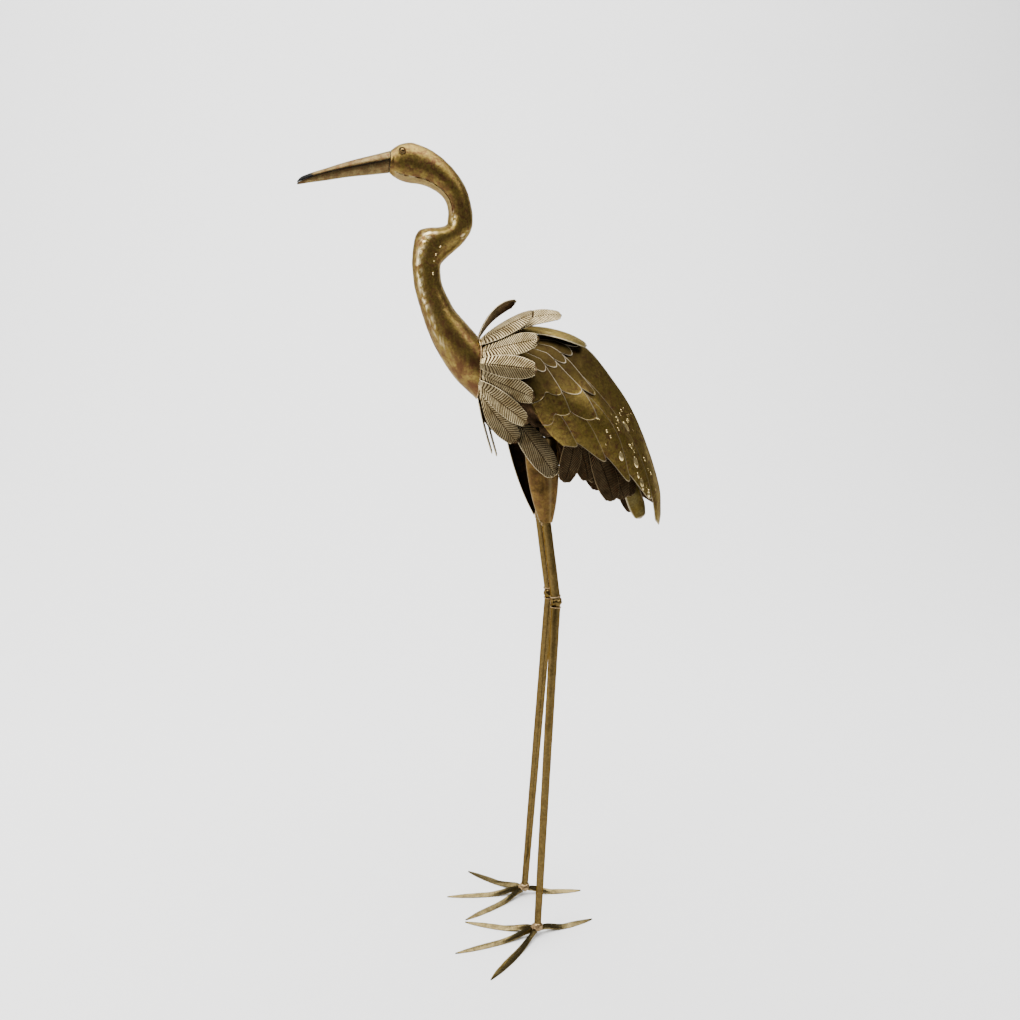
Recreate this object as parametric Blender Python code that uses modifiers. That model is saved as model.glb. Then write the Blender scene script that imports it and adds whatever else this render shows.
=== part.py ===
"""Crane garden statue, welded up from pressed and cut brass sheet.

Metres, +Z up. The bird faces -X and its left side is -Y. The heights chain up from the ground:
ankle, lower leg, knee, upper leg, body, neck. At the end everything is moved so that the origin
is at the middle of the box that the statue fills, on the ground.
"""

import math

import bmesh
import bpy
from mathutils import Matrix, Vector

# Overall sizes
ANKLE_Z = 0.012                 # middle of the ankle weld above the ground
LOWER_LEG_RISE = 0.442          # ankle to knee
UPPER_LEG_RISE = 0.196          # knee to hip
BODY_RISE = 0.103               # hip to the middle of the neck seam
NECK_RISE = 0.267               # middle of the neck seam to the crown
BODY_LENGTH = 0.215             # shoulder to the end of the longest wing strip but the last
SHEET = 0.0011                  # sheet of the plates
CLEARANCE = 0.0004              # gap between neighbouring pieces

# Legs
ANKLE_SPREAD = 0.103
KNEE_SPREAD = 0.044
HIP_SPREAD = 0.047
ANKLE_SET = 0.070               # ankle behind the neck seam
KNEE_SET = 0.0975
HIP_SET = 0.072
KNEE_TUBE_R = 0.0062
ANKLE_TUBE_R = 0.0047
UPPER_TUBE_R = 0.0058
KNEE_BALL_R = 0.0084
ANKLE_WELD_R = 0.0080

# Neck and head
SEAM_HALF_HEIGHT = 0.0378       # neck end, along its seam
SEAM_HALF_WIDTH = 0.0300
BEAK_LENGTH = 0.1090
EYE_R = 0.0042

# Feathers
COLLAR_DEPTH = 0.063            # how far the collar reaches back, along its axis
COLLAR_FALL = math.radians(16.0)
COLLAR_FLARE_HEIGHT = 0.060     # how far its plates flare out over that depth
COLLAR_FLARE_WIDTH = 0.033
COLLAR_TUCK = 0.75              # how much less far the lowest plates reach back
COLLAR_TUCK_FROM = math.radians(95.0)
FEATHER_WIDTH = 0.029
FEATHER_RIB = 0.0009            # height of the midrib's fold
LAYER = 0.0024                  # from one layer of plates to the next
WING_STEP = 0.0013              # height of one wing feather's edge over the next
COVERT_STEP = 0.0011
THIGH_HALF_WIDTH = 0.0215
THIGH_HALF_DEPTH = 0.0100
THIGH_RISE = 0.0100              # thigh above the hip
THIGH_DROP = 0.0910             # pinched end below the hip
THIGH_SET = {"left": 0.006, "right": -0.010}    # top of each thigh behind the hip

# Toes
TOE_HALF_WIDTH = 0.0056
TOE_ARCH = 0.0060               # rise of a toe's underside at the ankle
TOE_RIDGE = 0.0085
TOE_FLAT_FROM = 0.45            # share of the toe from which it lies on the ground

KNEE_Z = ANKLE_Z + LOWER_LEG_RISE
HIP_Z = KNEE_Z + UPPER_LEG_RISE
SEAM_Z = HIP_Z + BODY_RISE
SEAM = Vector((0.0, 0.0, SEAM_Z))
SEAM_UP = Vector((0.063, 0.0, 0.998)).normalized()
ACROSS = Vector((0.0, 1.0, 0.0))
SIDES = (("left", -1.0), ("right", 1.0))

# Neck sections from the seam to the beak: middle (x, z) and half length (x, z) along the profile
# from front to back, as shares of NECK_RISE, and the half width as a share of the seam's.
NECK_SECTIONS = (
    (0.000, 0.000, 0.009, 0.141, 1.00),
    (-0.075, 0.078, 0.032, 0.122, 0.92),
    (-0.145, 0.175, 0.044, 0.091, 0.78),
    (-0.178, 0.245, 0.055, 0.060, 0.68),
    (-0.206, 0.320, 0.058, 0.035, 0.59),
    (-0.223, 0.380, 0.062, 0.015, 0.54),
    (-0.230, 0.440, 0.064, 0.001, 0.53),
    (-0.228, 0.483, 0.067, -0.010, 0.53),
    (-0.209, 0.541, 0.074, -0.040, 0.54),
    (-0.184, 0.573, 0.077, -0.048, 0.54),
    (-0.149, 0.591, 0.069, -0.043, 0.52),
    (-0.111, 0.607, 0.060, -0.029, 0.50),
    (-0.082, 0.633, 0.057, -0.013, 0.48),
    (-0.074, 0.667, 0.058, 0.000, 0.46),
    (-0.076, 0.710, 0.055, 0.010, 0.45),
    (-0.092, 0.772, 0.050, 0.026, 0.45),
    (-0.127, 0.823, 0.043, 0.044, 0.47),
    (-0.178, 0.867, 0.034, 0.063, 0.50),
    (-0.232, 0.896, 0.021, 0.078, 0.54),
    (-0.290, 0.911, 0.014, 0.087, 0.55),
    (-0.322, 0.915, 0.012, 0.084, 0.54),
    (-0.354, 0.917, 0.008, 0.072, 0.50),
    (-0.384, 0.917, 0.005, 0.050, 0.42),
)

# Beak sections from the head to the tip as shares of BEAK_LENGTH: distance, top, split, bottom, half width
BEAK_SECTIONS = (
    (0.000, 0.115, 0.020, -0.120, 0.105),
    (0.130, 0.080, -0.010, -0.135, 0.092),
    (0.440, 0.000, -0.070, -0.168, 0.072),
    (0.680, -0.075, -0.120, -0.205, 0.052),
    (0.850, -0.128, -0.172, -0.228, 0.034),
    (0.955, -0.170, -0.210, -0.245, 0.020),
    (1.000, -0.215, -0.230, -0.250, 0.009),
)

# Lines between the wing's long feathers, from the front edge to the back edge, as shares of
# BODY_LENGTH from the neck seam: backwards, sideways, upwards.
WING_LINES = (
    ((0.15, 0.19, 0.02), (0.23, 0.215, -0.10), (0.30, 0.235, -0.24),
     (0.375, 0.25, -0.35), (0.455, 0.26, -0.425), (0.53, 0.262, -0.50)),
    ((0.15, 0.19, 0.05), (0.255, 0.22, -0.055), (0.36, 0.25, -0.155),
     (0.46, 0.26, -0.275), (0.535, 0.26, -0.41), (0.60, 0.26, -0.545)),
    ((0.155, 0.18, 0.08), (0.315, 0.215, -0.035), (0.475, 0.245, -0.155),
     (0.61, 0.25, -0.305), (0.705, 0.24, -0.49), (0.78, 0.23, -0.68)),
    ((0.17, 0.16, 0.115), (0.40, 0.185, -0.005), (0.61, 0.20, -0.15),
     (0.775, 0.21, -0.355), (0.86, 0.205, -0.61), (0.92, 0.195, -0.86)),
    ((0.20, 0.125, 0.15), (0.49, 0.13, 0.035), (0.71, 0.14, -0.17),
     (0.905, 0.14, -0.445), (1.01, 0.15, -0.74), (1.03, 0.15, -1.03)),
    ((0.24, 0.055, 0.18), (0.575, 0.015, 0.15), (0.82, 0.012, -0.11),
     (0.975, 0.025, -0.385), (1.095, 0.055, -0.78), (1.055, 0.10, -1.12)),
)
WING_LINE_END = 0.8                                 # share of each line at which its notch lies
TIP_REACH = (0.052, 0.078, 0.070, 0.044, 0.125)     # how far each strip's tip passes the notches
TIP_SHAPE = ((0.0, 0.0), (0.30, 0.56), (0.60, 0.92), (0.84, 1.0), (0.965, 0.50))
COVERT_ROWS = (0.17, 0.41, 0.63)                    # where the three rows of short feathers end
COVERT_SCALLOP_SHARE = 0.055

# Stations along a plate and its half width there: both outlines end in a round tip
PLATE_STATIONS = (0.0, 0.20, 0.40, 0.60, 0.78, 0.92, 1.0)
LEAF = (0.42, 0.74, 0.95, 1.00, 0.92, 0.68, 0.26)
BLADE = (0.62, 0.82, 0.95, 1.00, 0.96, 0.74, 0.28)

# Collar plates: place round the seam in degrees from the top, length as a share of the depth,
# layer from the outside, and turn about their midrib in degrees, lower edge outwards
COLLAR_PLATES = (
    (28.0, 1.00, 0, 0.0),
    (55.0, 1.06, 1, 0.0),
    (78.0, 1.04, 0, 0.0),
    (98.0, 1.02, 1, 0.0),
    (118.0, 1.00, 0, 0.0),
    (138.0, 1.06, 1, 22.0),
)
COLLAR_BENT = {("right", 1): math.radians(33.0)}     # plates bent up out of the collar
COLLAR_BENT_CURL = 0.60                              # share of the bend that their tips curl back

# Free plates: root, middle and tip as shares of BODY_LENGTH from the neck seam (backwards,
# sideways, upwards), the way the face looks (backwards, sideways, upwards), width as a share of
# FEATHER_WIDTH and the outline.
FREE_PLATES = {
    "shoulder_feather_{}_high": (
        (0.10, 0.048, 0.175), (0.265, 0.060, 0.275), (0.475, 0.072, 0.302), (-0.3, 0.6, 0.8), 0.92, LEAF),
    "shoulder_feather_{}_low": (
        (0.195, 0.112, -0.275), (0.305, 0.180, -0.432), (0.415, 0.226, -0.60), (0.1, 1.0, 0.15), 1.12, LEAF),
    "back_feather_{}": (
        (0.30, 0.055, 0.228), (0.46, 0.060, 0.192), (0.632, 0.060, 0.125), (0.3, 0.5, 0.85), 0.66, BLADE),
    "tail_feather_{}": (
        (0.834, 0.120, -0.572), (0.909, 0.104, -0.736), (0.969, 0.091, -0.901), (0.22, 1.0, 0.0), 0.80, BLADE),
}

# The lowest collar plate of each side hangs edge-on before the throat, one behind the other
THROAT_PLATES = {
    "left": ((0.004, 0.012, -0.195), (0.038, 0.012, -0.345), (0.080, 0.012, -0.495), (-1.0, -0.16, -0.3)),
    "right": ((0.034, 0.012, -0.200), (0.070, 0.012, -0.360), (0.112, 0.012, -0.515), (-1.0, 0.16, -0.3)),
}

# Skirt plates under the wing: root and tip (backwards, upwards) and the width, in the same shares.
# They hang in three layers on one upright plane that starts at SKIRT_SIDE_SHARE and closes in towards
# the tail.
SKIRT_PLATES = (
    ((0.530, -0.350), (0.470, -0.638), 0.95),
    ((0.530, -0.370), (0.620, -0.640), 0.95),
    ((0.590, -0.400), (0.675, -0.655), 0.95),
    ((0.640, -0.440), (0.775, -0.768), 1.05),
    ((0.700, -0.470), (0.850, -0.765), 0.95),
    ((0.780, -0.500), (0.898, -0.752), 0.85),
)
SKIRT_SIDE_SHARE = 0.222
SKIRT_CLOSING = 0.22

# Toes of each foot: turn from straight ahead in degrees, outwards positive, and length
TOES = {
    "left": {
        "middle": (13.7, 0.117), "outer": (50.2, 0.119), "inner": (-25.2, 0.102), "back": (196.5, 0.084)},
    "right": {
        "middle": (4.5, 0.110), "outer": (45.9, 0.103), "inner": (-30.8, 0.106), "back": (182.9, 0.081)},
}

for old in list(bpy.data.objects):
    bpy.data.objects.remove(old, do_unlink=True)

statue = bpy.data.collections.new("crane_garden_statue")
cutters = bpy.data.collections.new("cutters")
bpy.context.scene.collection.children.link(statue)
bpy.context.scene.collection.children.link(cutters)


def make_material(name, colour, roughness, metallic=1.0):
    """A Principled material with the piece's colour."""
    material = bpy.data.materials.new(name)
    material.use_nodes = True
    shader = material.node_tree.nodes["Principled BSDF"]
    shader.inputs["Base Color"].default_value = (*colour, 1.0)
    shader.inputs["Roughness"].default_value = roughness
    shader.inputs["Metallic"].default_value = metallic
    return material


AGED_BRASS = make_material("aged_brass", (0.30, 0.22, 0.09), 0.32)
DARK_BRASS = make_material("dark_brass", (0.13, 0.085, 0.04), 0.45)
TUBE_BRASS = make_material("tube_brass", (0.28, 0.20, 0.09), 0.30)
BEAK_BRASS = make_material("beak_brass", (0.22, 0.16, 0.08), 0.38)
EYE_GLASS = make_material("eye_bead", (0.03, 0.02, 0.01), 0.08, 0.0)


def add_mesh(name, bm, material, collection=statue, smooth=True):
    """Turn a bmesh into a named object."""
    mesh = bpy.data.meshes.new(name)
    bm.to_mesh(mesh)
    bm.free()
    if smooth:
        mesh.shade_smooth()
        mesh.set_sharp_from_angle(angle=math.radians(38.0))
    mesh.materials.append(material)
    obj = bpy.data.objects.new(name, mesh)
    collection.objects.link(obj)
    return obj


def curve_point(points, share):
    """A point at a share of a smooth curve through the points."""
    last = len(points) - 1
    place = min(max(share, 0.0), 1.0) * last
    i = min(int(place), last - 1)
    t = place - i
    p1, p2 = points[i], points[i + 1]
    p0 = points[i - 1] if i > 0 else p1 * 2.0 - p2
    p3 = points[i + 2] if i + 2 <= last else p2 * 2.0 - p1
    point = 0.5 * (2.0 * p1 + (p2 - p0) * t + (2.0 * p0 - 5.0 * p1 + 4.0 * p2 - p3) * t * t
                   + (3.0 * p1 - p0 - 3.0 * p2 + p3) * t * t * t)
    return point


def from_seam(shares, side, length=BODY_LENGTH):
    """A point given backwards, sideways and upwards from the neck seam."""
    return SEAM + Vector((shares[0], side * shares[1], shares[2])) * length


def sheet(name, rows, columns, place, outward, thickness, material):
    """A plate: a grid laid on a curved surface, thickened away from its outer face.

    place(row share, column share) gives a point of the outer face.
    """
    bm = bmesh.new()
    bmesh.ops.create_grid(bm, x_segments=columns, y_segments=rows, size=0.5)
    for vert in bm.verts:
        vert.co = place(vert.co.y + 0.5, vert.co.x + 0.5)
    bm.normal_update()
    facing = sum((face.normal * face.calc_area() for face in bm.faces), Vector())
    if facing.dot(outward) < 0.0:
        bmesh.ops.reverse_faces(bm, faces=bm.faces)
    obj = add_mesh(name, bm, material)
    solid = obj.modifiers.new("thickness", "SOLIDIFY")
    solid.thickness = thickness
    solid.offset = -1.0
    solid.use_even_offset = True
    return obj


def loft(bm, rings):
    """Skin between rings of equally many points, closed at both ends."""
    loops = [[bm.verts.new(point) for point in ring] for ring in rings]
    count = len(loops[0])
    for a, b in zip(loops, loops[1:]):
        for i in range(count):
            j = (i + 1) % count
            bm.faces.new((a[i], a[j], b[j], b[i]))
    bm.faces.new(loops[0])
    bm.faces.new(loops[-1])
    bmesh.ops.recalc_face_normals(bm, faces=bm.faces)


def plate_station(row_share, outline):
    """Place along a plate and its half width there, for a row of the plate's grid."""
    row = round(row_share * (len(PLATE_STATIONS) - 1))
    return PLATE_STATIONS[row], outline[row]


# Neck and head
def neck_ring(section, points=16):
    """Section of the two-part neck: a round with a soft edge where its halves are welded."""
    x, z, dx, dz, width = section
    middle = SEAM + Vector((x, 0.0, z)) * NECK_RISE
    along = Vector((dx, 0.0, dz)) * NECK_RISE
    ring = []
    for k in range(points):
        angle = 2.0 * math.pi * k / points
        reach = abs(math.sin(angle)) ** 1.15
        sideways = math.copysign(reach, math.sin(angle)) * width * SEAM_HALF_WIDTH
        ring.append(middle + along * math.cos(angle) + ACROSS * sideways)
    return ring


def build_neck():
    bm = bmesh.new()
    loft(bm, [neck_ring(section) for section in NECK_SECTIONS])
    neck = add_mesh("neck_and_head", bm, AGED_BRASS)
    for side_name, side in SIDES:
        bm = bmesh.new()
        bmesh.ops.create_uvsphere(bm, u_segments=12, v_segments=8, radius=EYE_R)
        eye = add_mesh("eye_" + side_name, bm, EYE_GLASS)
        eye.location = eye_place(side)
        bm = bmesh.new()
        bmesh.ops.create_uvsphere(bm, u_segments=12, v_segments=8, radius=EYE_R + CLEARANCE)
        socket = add_mesh("socket_" + side_name, bm, AGED_BRASS, cutters)
        socket.location = eye_place(side)
        socket.hide_render = True
        socket.display_type = "WIRE"
        cut = neck.modifiers.new("socket " + side_name, "BOOLEAN")
        cut.operation = "DIFFERENCE"
        cut.solver = "EXACT"
        cut.object = socket


def eye_place(side):
    """Middle of an eye bead, half sunk in the side of the head."""
    section = [0.5 * (a + b) for a, b in zip(NECK_SECTIONS[-3], NECK_SECTIONS[-2])]
    middle = SEAM + Vector((section[0], 0.0, section[1])) * NECK_RISE
    up = Vector((section[2], 0.0, section[3])) * NECK_RISE
    level = 0.56
    depth = SEAM_HALF_WIDTH * section[4] * math.sqrt(1.0 - level * level)
    return middle + up * level + ACROSS * side * (depth - 0.35 * EYE_R)


def build_beak():
    """Upper half with a roof-like top, lower half with a trough-like underside."""
    last = NECK_SECTIONS[-1]
    root = SEAM + Vector((last[0], 0.0, last[1])) * NECK_RISE
    forward = Vector((-last[3], 0.0, last[2])).normalized()
    for half in ("upper", "lower"):
        rings = []
        for distance, top, split, bottom, width in BEAK_SECTIONS:
            middle = root + forward * CLEARANCE + Vector((-distance, 0.0, 0.0)) * BEAK_LENGTH
            lift = 0.5 * CLEARANCE if half == "upper" else -0.5 * CLEARANCE
            edge = split * BEAK_LENGTH + lift
            crest = (top if half == "upper" else bottom) * BEAK_LENGTH
            w = width * BEAK_LENGTH * (0.86 if half == "upper" else 1.0)
            rise = crest - edge
            profile = (
                (-1.0, 0.0), (-0.95, 0.35), (-0.55, 0.82), (0.0, 1.0), (0.55, 0.82), (0.95, 0.35), (1.0, 0.0))
            ring = [middle + Vector((0.0, a * w, edge + b * rise)) for a, b in profile]
            lean = last[2] / last[3] * (1.0 - distance)
            for point in ring:
                point.x += (point.z - root.z) * lean
            rings.append(ring)
        bm = bmesh.new()
        loft(bm, rings)
        add_mesh(half + "_beak", bm, BEAK_BRASS)


# Body: its front and back, its half height and half width as shares of its length, and its slope
BODY_FRONT_SHARE = 0.012
BODY_BACK_SHARE = 0.80
BODY_HEIGHT_SHARE = 0.205
BODY_WIDTH_SHARE = 0.135
BODY_SLOPE = 0.52


def body_swell(t):
    """How full the egg is at a share of its length: pointed ends, fuller towards the neck."""
    along = 2.0 * t - 1.0
    return math.sqrt(max(0.0, 1.0 - along * along)) * (1.08 - 0.16 * t)


def body_point(along, angle):
    """Point of the egg: along runs from -1 at the neck to 1 at the tail."""
    t = 0.5 * (along + 1.0)
    x = BODY_FRONT_SHARE + (BODY_BACK_SHARE - BODY_FRONT_SHARE) * t
    y = BODY_WIDTH_SHARE * body_swell(t) * math.sin(angle)
    z = BODY_HEIGHT_SHARE * body_swell(t) * math.cos(angle) - BODY_SLOPE * (x - BODY_FRONT_SHARE) - 0.005
    return SEAM + Vector((x, y, z)) * BODY_LENGTH


def body_underside(x, y):
    """Height of the egg's underside over a point of the ground."""
    t = ((x - SEAM.x) / BODY_LENGTH - BODY_FRONT_SHARE) / (BODY_BACK_SHARE - BODY_FRONT_SHARE)
    sine = min(0.999, abs(y) / (BODY_WIDTH_SHARE * body_swell(t) * BODY_LENGTH))
    return body_point(2.0 * t - 1.0, math.pi - math.asin(sine)).z


def build_body():
    bm = bmesh.new()
    bmesh.ops.create_uvsphere(bm, u_segments=18, v_segments=12, radius=1.0)
    for vert in bm.verts:
        angle = math.atan2(vert.co.y, vert.co.x)
        vert.co = body_point(max(-1.0, min(1.0, vert.co.z)), angle)
    bmesh.ops.recalc_face_normals(bm, faces=bm.faces)
    add_mesh("body", bm, DARK_BRASS)


# Wings
def wing_surface(u, v, side):
    """Smooth wing surface: u along the feathers, v across them from the front edge to the back."""
    lines = []
    for line in WING_LINES:
        lines.append(curve_point([from_seam(p, side) for p in line], u * WING_LINE_END))
    return curve_point(lines, v / (len(WING_LINES) - 1))


def wing_normal(u, v, side):
    """Outward direction of the wing surface."""
    d = 0.01
    along = wing_surface(u + d, v, side) - wing_surface(u - d, v, side)
    low, high = max(0.0, v - d), min(5.0, v + d)
    over = wing_surface(u, high, side) - wing_surface(u, low, side)
    normal = along.cross(over).normalized()
    return normal if normal.y * side > 0.0 else -normal


def wing_columns():
    """Column places: strip number, share across the strip, and its tip's reach."""
    columns = []
    for strip, reach in enumerate(TIP_REACH):
        for w, shape in TIP_SHAPE:
            columns.append((strip, w, reach * shape))
    columns.append((len(TIP_REACH) - 1, 1.0, TIP_REACH[-1] * 0.35))
    return columns


def wing_rows():
    """Row places along the wing: share, how far they bend with the covert tips, and the step."""
    rows = [(0.0, 0.0, 0.0), (0.5 * COVERT_ROWS[0], 0.5, 0.5)]
    for i, end in enumerate(COVERT_ROWS):
        rows.append((end, 1.0, 1.0))
        rows.append((end + 0.012, 1.0, 0.0))
        if i + 1 < len(COVERT_ROWS):
            rows.append((0.5 * (end + COVERT_ROWS[i + 1]), 0.5, 0.5))
    rows += [(0.75, 0.3, 0.0), (0.87, 0.0, 0.0), (1.0, 0.0, 0.0)]
    return rows


def build_wing(side_name, side):
    """A pressed shell with the long feathers and the three covert rows standing in steps."""
    columns, rows = wing_columns(), wing_rows()

    def place(row_share, column_share):
        share, bend, step = rows[round(row_share * (len(rows) - 1))]
        strip, w, reach = columns[round(column_share * (len(columns) - 1))]
        v = strip + w
        u = share + COVERT_SCALLOP_SHARE * bend * 4.0 * w * (1.0 - w)
        u += reach * max(0.0, share - COVERT_ROWS[-1]) / (1.0 - COVERT_ROWS[-1])
        lift = WING_STEP * w * min(1.0, share * 4.0) + COVERT_STEP * step
        return wing_surface(u, v, side) + wing_normal(u, v, side) * lift

    sheet("wing_" + side_name, len(rows) - 1, len(columns) - 1, place, ACROSS * side, SHEET, AGED_BRASS)


# Collar
def collar_surface(s, angle):
    """The flaring collar: s from 0 at the neck seam to 1 at the tips, angle from the top."""
    from_top = math.acos(max(-1.0, min(1.0, math.cos(angle))))
    low = max(0.0, from_top - COLLAR_TUCK_FROM) / (math.pi - COLLAR_TUCK_FROM)
    tuck = COLLAR_TUCK * (0.5 - 0.5 * math.cos(math.pi * low)) ** 1.5
    reach = COLLAR_DEPTH * (1.0 - tuck)
    back = Vector((math.cos(COLLAR_FALL), 0.0, -math.sin(COLLAR_FALL))) * reach * s
    swell = s ** 0.9
    tall = SEAM_HALF_HEIGHT + COLLAR_FLARE_HEIGHT * swell
    wide = SEAM_HALF_WIDTH + COLLAR_FLARE_WIDTH * swell
    return SEAM + back + SEAM_UP * tall * math.cos(angle) + ACROSS * wide * math.sin(angle)


def collar_frame(s, angle):
    """Sideways step per angle and outward direction of the collar."""
    d = 0.01
    turn = (collar_surface(s, angle + d) - collar_surface(s, angle - d)) / (2.0 * d)
    along = collar_surface(s + d, angle) - collar_surface(s, angle)
    normal = along.cross(turn).normalized()
    outward = collar_surface(s, angle) - collar_surface(s, angle + math.pi)
    return turn.length, (normal if normal.dot(outward) > 0.0 else -normal)


def build_collar_feather(name, side, angle_deg, length, layer, turn_deg, bent):
    """One herringbone plate of the collar, laid on the collar surface."""
    centre = math.radians(angle_deg) * side
    root = collar_surface(0.035, centre)
    hinge = (collar_surface(0.035, centre + 0.02) - collar_surface(0.035, centre - 0.02)).normalized()
    slope = math.tan(math.radians(turn_deg)) * side

    def place(row_share, column_share):
        t, width = plate_station(row_share, LEAF)
        s = 0.035 + (length - 0.035) * t
        per_angle, _ = collar_frame(s, centre)
        across = 2.0 * column_share - 1.0
        half = 0.5 * FEATHER_WIDTH * width
        angle = centre + across * half / per_angle
        _, normal = collar_frame(s, angle)
        swept = max(0.03, s - 0.035 * across * across * min(1.0, 3.0 * t))
        lift = FEATHER_RIB * (1.0 - abs(across)) - layer * LAYER + across * half * slope * min(1.0, 2.0 * t)
        flat = collar_surface(swept, angle) + normal * lift
        bend = Matrix.Rotation(-bent * (1.0 - COLLAR_BENT_CURL * t * t), 3, hinge)
        return root + bend @ (flat - root)

    outward = ACROSS * math.sin(centre) + SEAM_UP * math.cos(centre)
    sheet(name, len(PLATE_STATIONS) - 1, 4, place, outward, SHEET, AGED_BRASS)


def build_free_plate(name, side, root, middle, tip, facing, width, outline, material):
    """A plate along a bent midline, with a folded midrib."""
    a, b, c = (from_seam(p, side) for p in (root, middle, tip))
    face = Vector((facing[0], facing[1] * side, facing[2])).normalized()
    fold_height = FEATHER_RIB if outline is LEAF else 0.5 * FEATHER_RIB

    def place(row_share, column_share):
        t, plate_width = plate_station(row_share, outline)
        point = a * (1.0 - t) ** 2 + (2.0 * b - 0.5 * (a + c)) * 2.0 * t * (1.0 - t) + c * t * t
        run = ((2.0 * b - 0.5 * (a + c)) - a) * (1.0 - t) + (c - (2.0 * b - 0.5 * (a + c))) * t
        across = run.cross(face).normalized()
        normal = across.cross(run).normalized()
        if normal.dot(face) < 0.0:
            normal.negate()
        place_across = 2.0 * column_share - 1.0
        half = 0.5 * FEATHER_WIDTH * width * plate_width
        fold = fold_height * (1.0 - abs(place_across))
        return point + across * place_across * half + normal * fold

    sheet(name, len(PLATE_STATIONS) - 1, 4, place, face, SHEET, material)


def build_skirt(side_name, side):
    """Dark plates that hang from under the wing, in three layers."""
    for index, (root, tip, width) in enumerate(SKIRT_PLATES):
        inner = (index % 3) * LAYER / BODY_LENGTH
        bend = (0.5 * (root[0] + tip[0]) + 0.012, 0.5 * (root[1] + tip[1]))
        points = []
        for x, z in (root, bend, tip):
            points.append((x, SKIRT_SIDE_SHARE - SKIRT_CLOSING * (x - SKIRT_PLATES[0][0][0]) - inner, z))
        name = "skirt_feather_{}_{}".format(side_name, index + 1)
        build_free_plate(name, side, *points, (SKIRT_CLOSING, 1.0, 0.0), width, LEAF, DARK_BRASS)


# Legs
def leg_points(side):
    """Hip, knee and ankle of one leg."""
    hip = Vector((HIP_SET, side * 0.5 * HIP_SPREAD, HIP_Z))
    knee = Vector((KNEE_SET, side * 0.5 * KNEE_SPREAD, KNEE_Z))
    ankle = Vector((ANKLE_SET, side * 0.5 * ANKLE_SPREAD, ANKLE_Z))
    return hip, knee, ankle


def tube(name, start, end, start_r, end_r, material):
    """A straight, slightly tapered round tube as a mesh with closed ends."""
    curve = bpy.data.curves.new(name, "CURVE")
    curve.dimensions = "3D"
    curve.bevel_depth = 1.0
    curve.bevel_resolution = 3
    curve.use_fill_caps = True
    spline = curve.splines.new("POLY")
    spline.points.add(2)
    for k, point in enumerate(spline.points):
        share = k / 2.0
        point.co = (*start.lerp(end, share), 1.0)
        point.radius = start_r + (end_r - start_r) * share
    guide = bpy.data.objects.new(name + "_line", curve)
    statue.objects.link(guide)
    evaluated = guide.evaluated_get(bpy.context.evaluated_depsgraph_get())
    mesh = bpy.data.meshes.new_from_object(evaluated)
    bm = bmesh.new()
    bm.from_mesh(mesh)
    bmesh.ops.remove_doubles(bm, verts=bm.verts, dist=0.00001)
    bmesh.ops.recalc_face_normals(bm, faces=bm.faces)
    bpy.data.objects.remove(guide, do_unlink=True)
    bpy.data.meshes.remove(mesh)
    return add_mesh(name, bm, material)


def build_leg(side_name, side):
    """Upper and lower tube, the knee ball between them and the weld round the ankle."""
    hip, knee, ankle = leg_points(side)
    up = (hip - knee).normalized()
    down = (ankle - knee).normalized()
    top = hip.copy()
    for _ in range(30):
        rim = [top + Vector((x, y, 0.0)) * UPPER_TUBE_R * 1.2 for x, y in ((1, 0), (0, 1), (-1, 0), (0, -1))]
        room = min(body_underside(p.x, p.y) - top.z for p in rim) - 2.0 * CLEARANCE - 0.0015
        top += up * 0.5 * room
    upper_start = knee + up * (KNEE_BALL_R + CLEARANCE)
    tube("upper_leg_" + side_name, upper_start, top, KNEE_TUBE_R, UPPER_TUBE_R, TUBE_BRASS)
    bm = bmesh.new()
    bmesh.ops.create_uvsphere(bm, u_segments=14, v_segments=9, radius=KNEE_BALL_R)
    ball = add_mesh("knee_" + side_name, bm, TUBE_BRASS)
    ball.location = knee
    lower_start = knee + down * (KNEE_BALL_R + CLEARANCE)
    lower = tube("lower_leg_" + side_name, lower_start, ankle, KNEE_TUBE_R, ANKLE_TUBE_R, TUBE_BRASS)
    bm = bmesh.new()
    bmesh.ops.create_uvsphere(bm, u_segments=14, v_segments=9, radius=ANKLE_WELD_R)
    weld = add_mesh("ankle_weld_" + side_name, bm, TUBE_BRASS, cutters)
    weld.location = ankle
    weld.scale.z = 0.9
    weld.hide_render = True
    weld.display_type = "WIRE"
    join = lower.modifiers.new("ankle weld", "BOOLEAN")
    join.operation = "UNION"
    join.solver = "EXACT"
    join.object = weld


def build_thigh(side_name, side):
    """Half cone of sheet on the outer side of the leg tube, pinched onto it at its lower end."""
    hip, knee, _ = leg_points(side)
    down = (knee - hip).normalized()
    top = hip - down * THIGH_RISE + Vector((THIGH_SET[side_name], side * 0.003, 0.0))
    bottom = hip + down * THIGH_DROP
    bottom_r = UPPER_TUBE_R + 0.0010 + SHEET + CLEARANCE

    def place(row_share, column_share):
        middle = top.lerp(bottom, row_share)
        closing = row_share ** 2.6
        half_width = THIGH_HALF_WIDTH + (bottom_r - THIGH_HALF_WIDTH) * closing
        half_depth = THIGH_HALF_DEPTH + (bottom_r - THIGH_HALF_DEPTH) * closing
        angle = math.radians(98.0) * (2.0 * column_share - 1.0)
        return middle + Vector((half_width * math.sin(angle), side * half_depth * math.cos(angle), 0.0))

    sheet("thigh_" + side_name, 5, 8, place, Vector((0.0, side, 0.0)), SHEET, DARK_BRASS)


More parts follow.
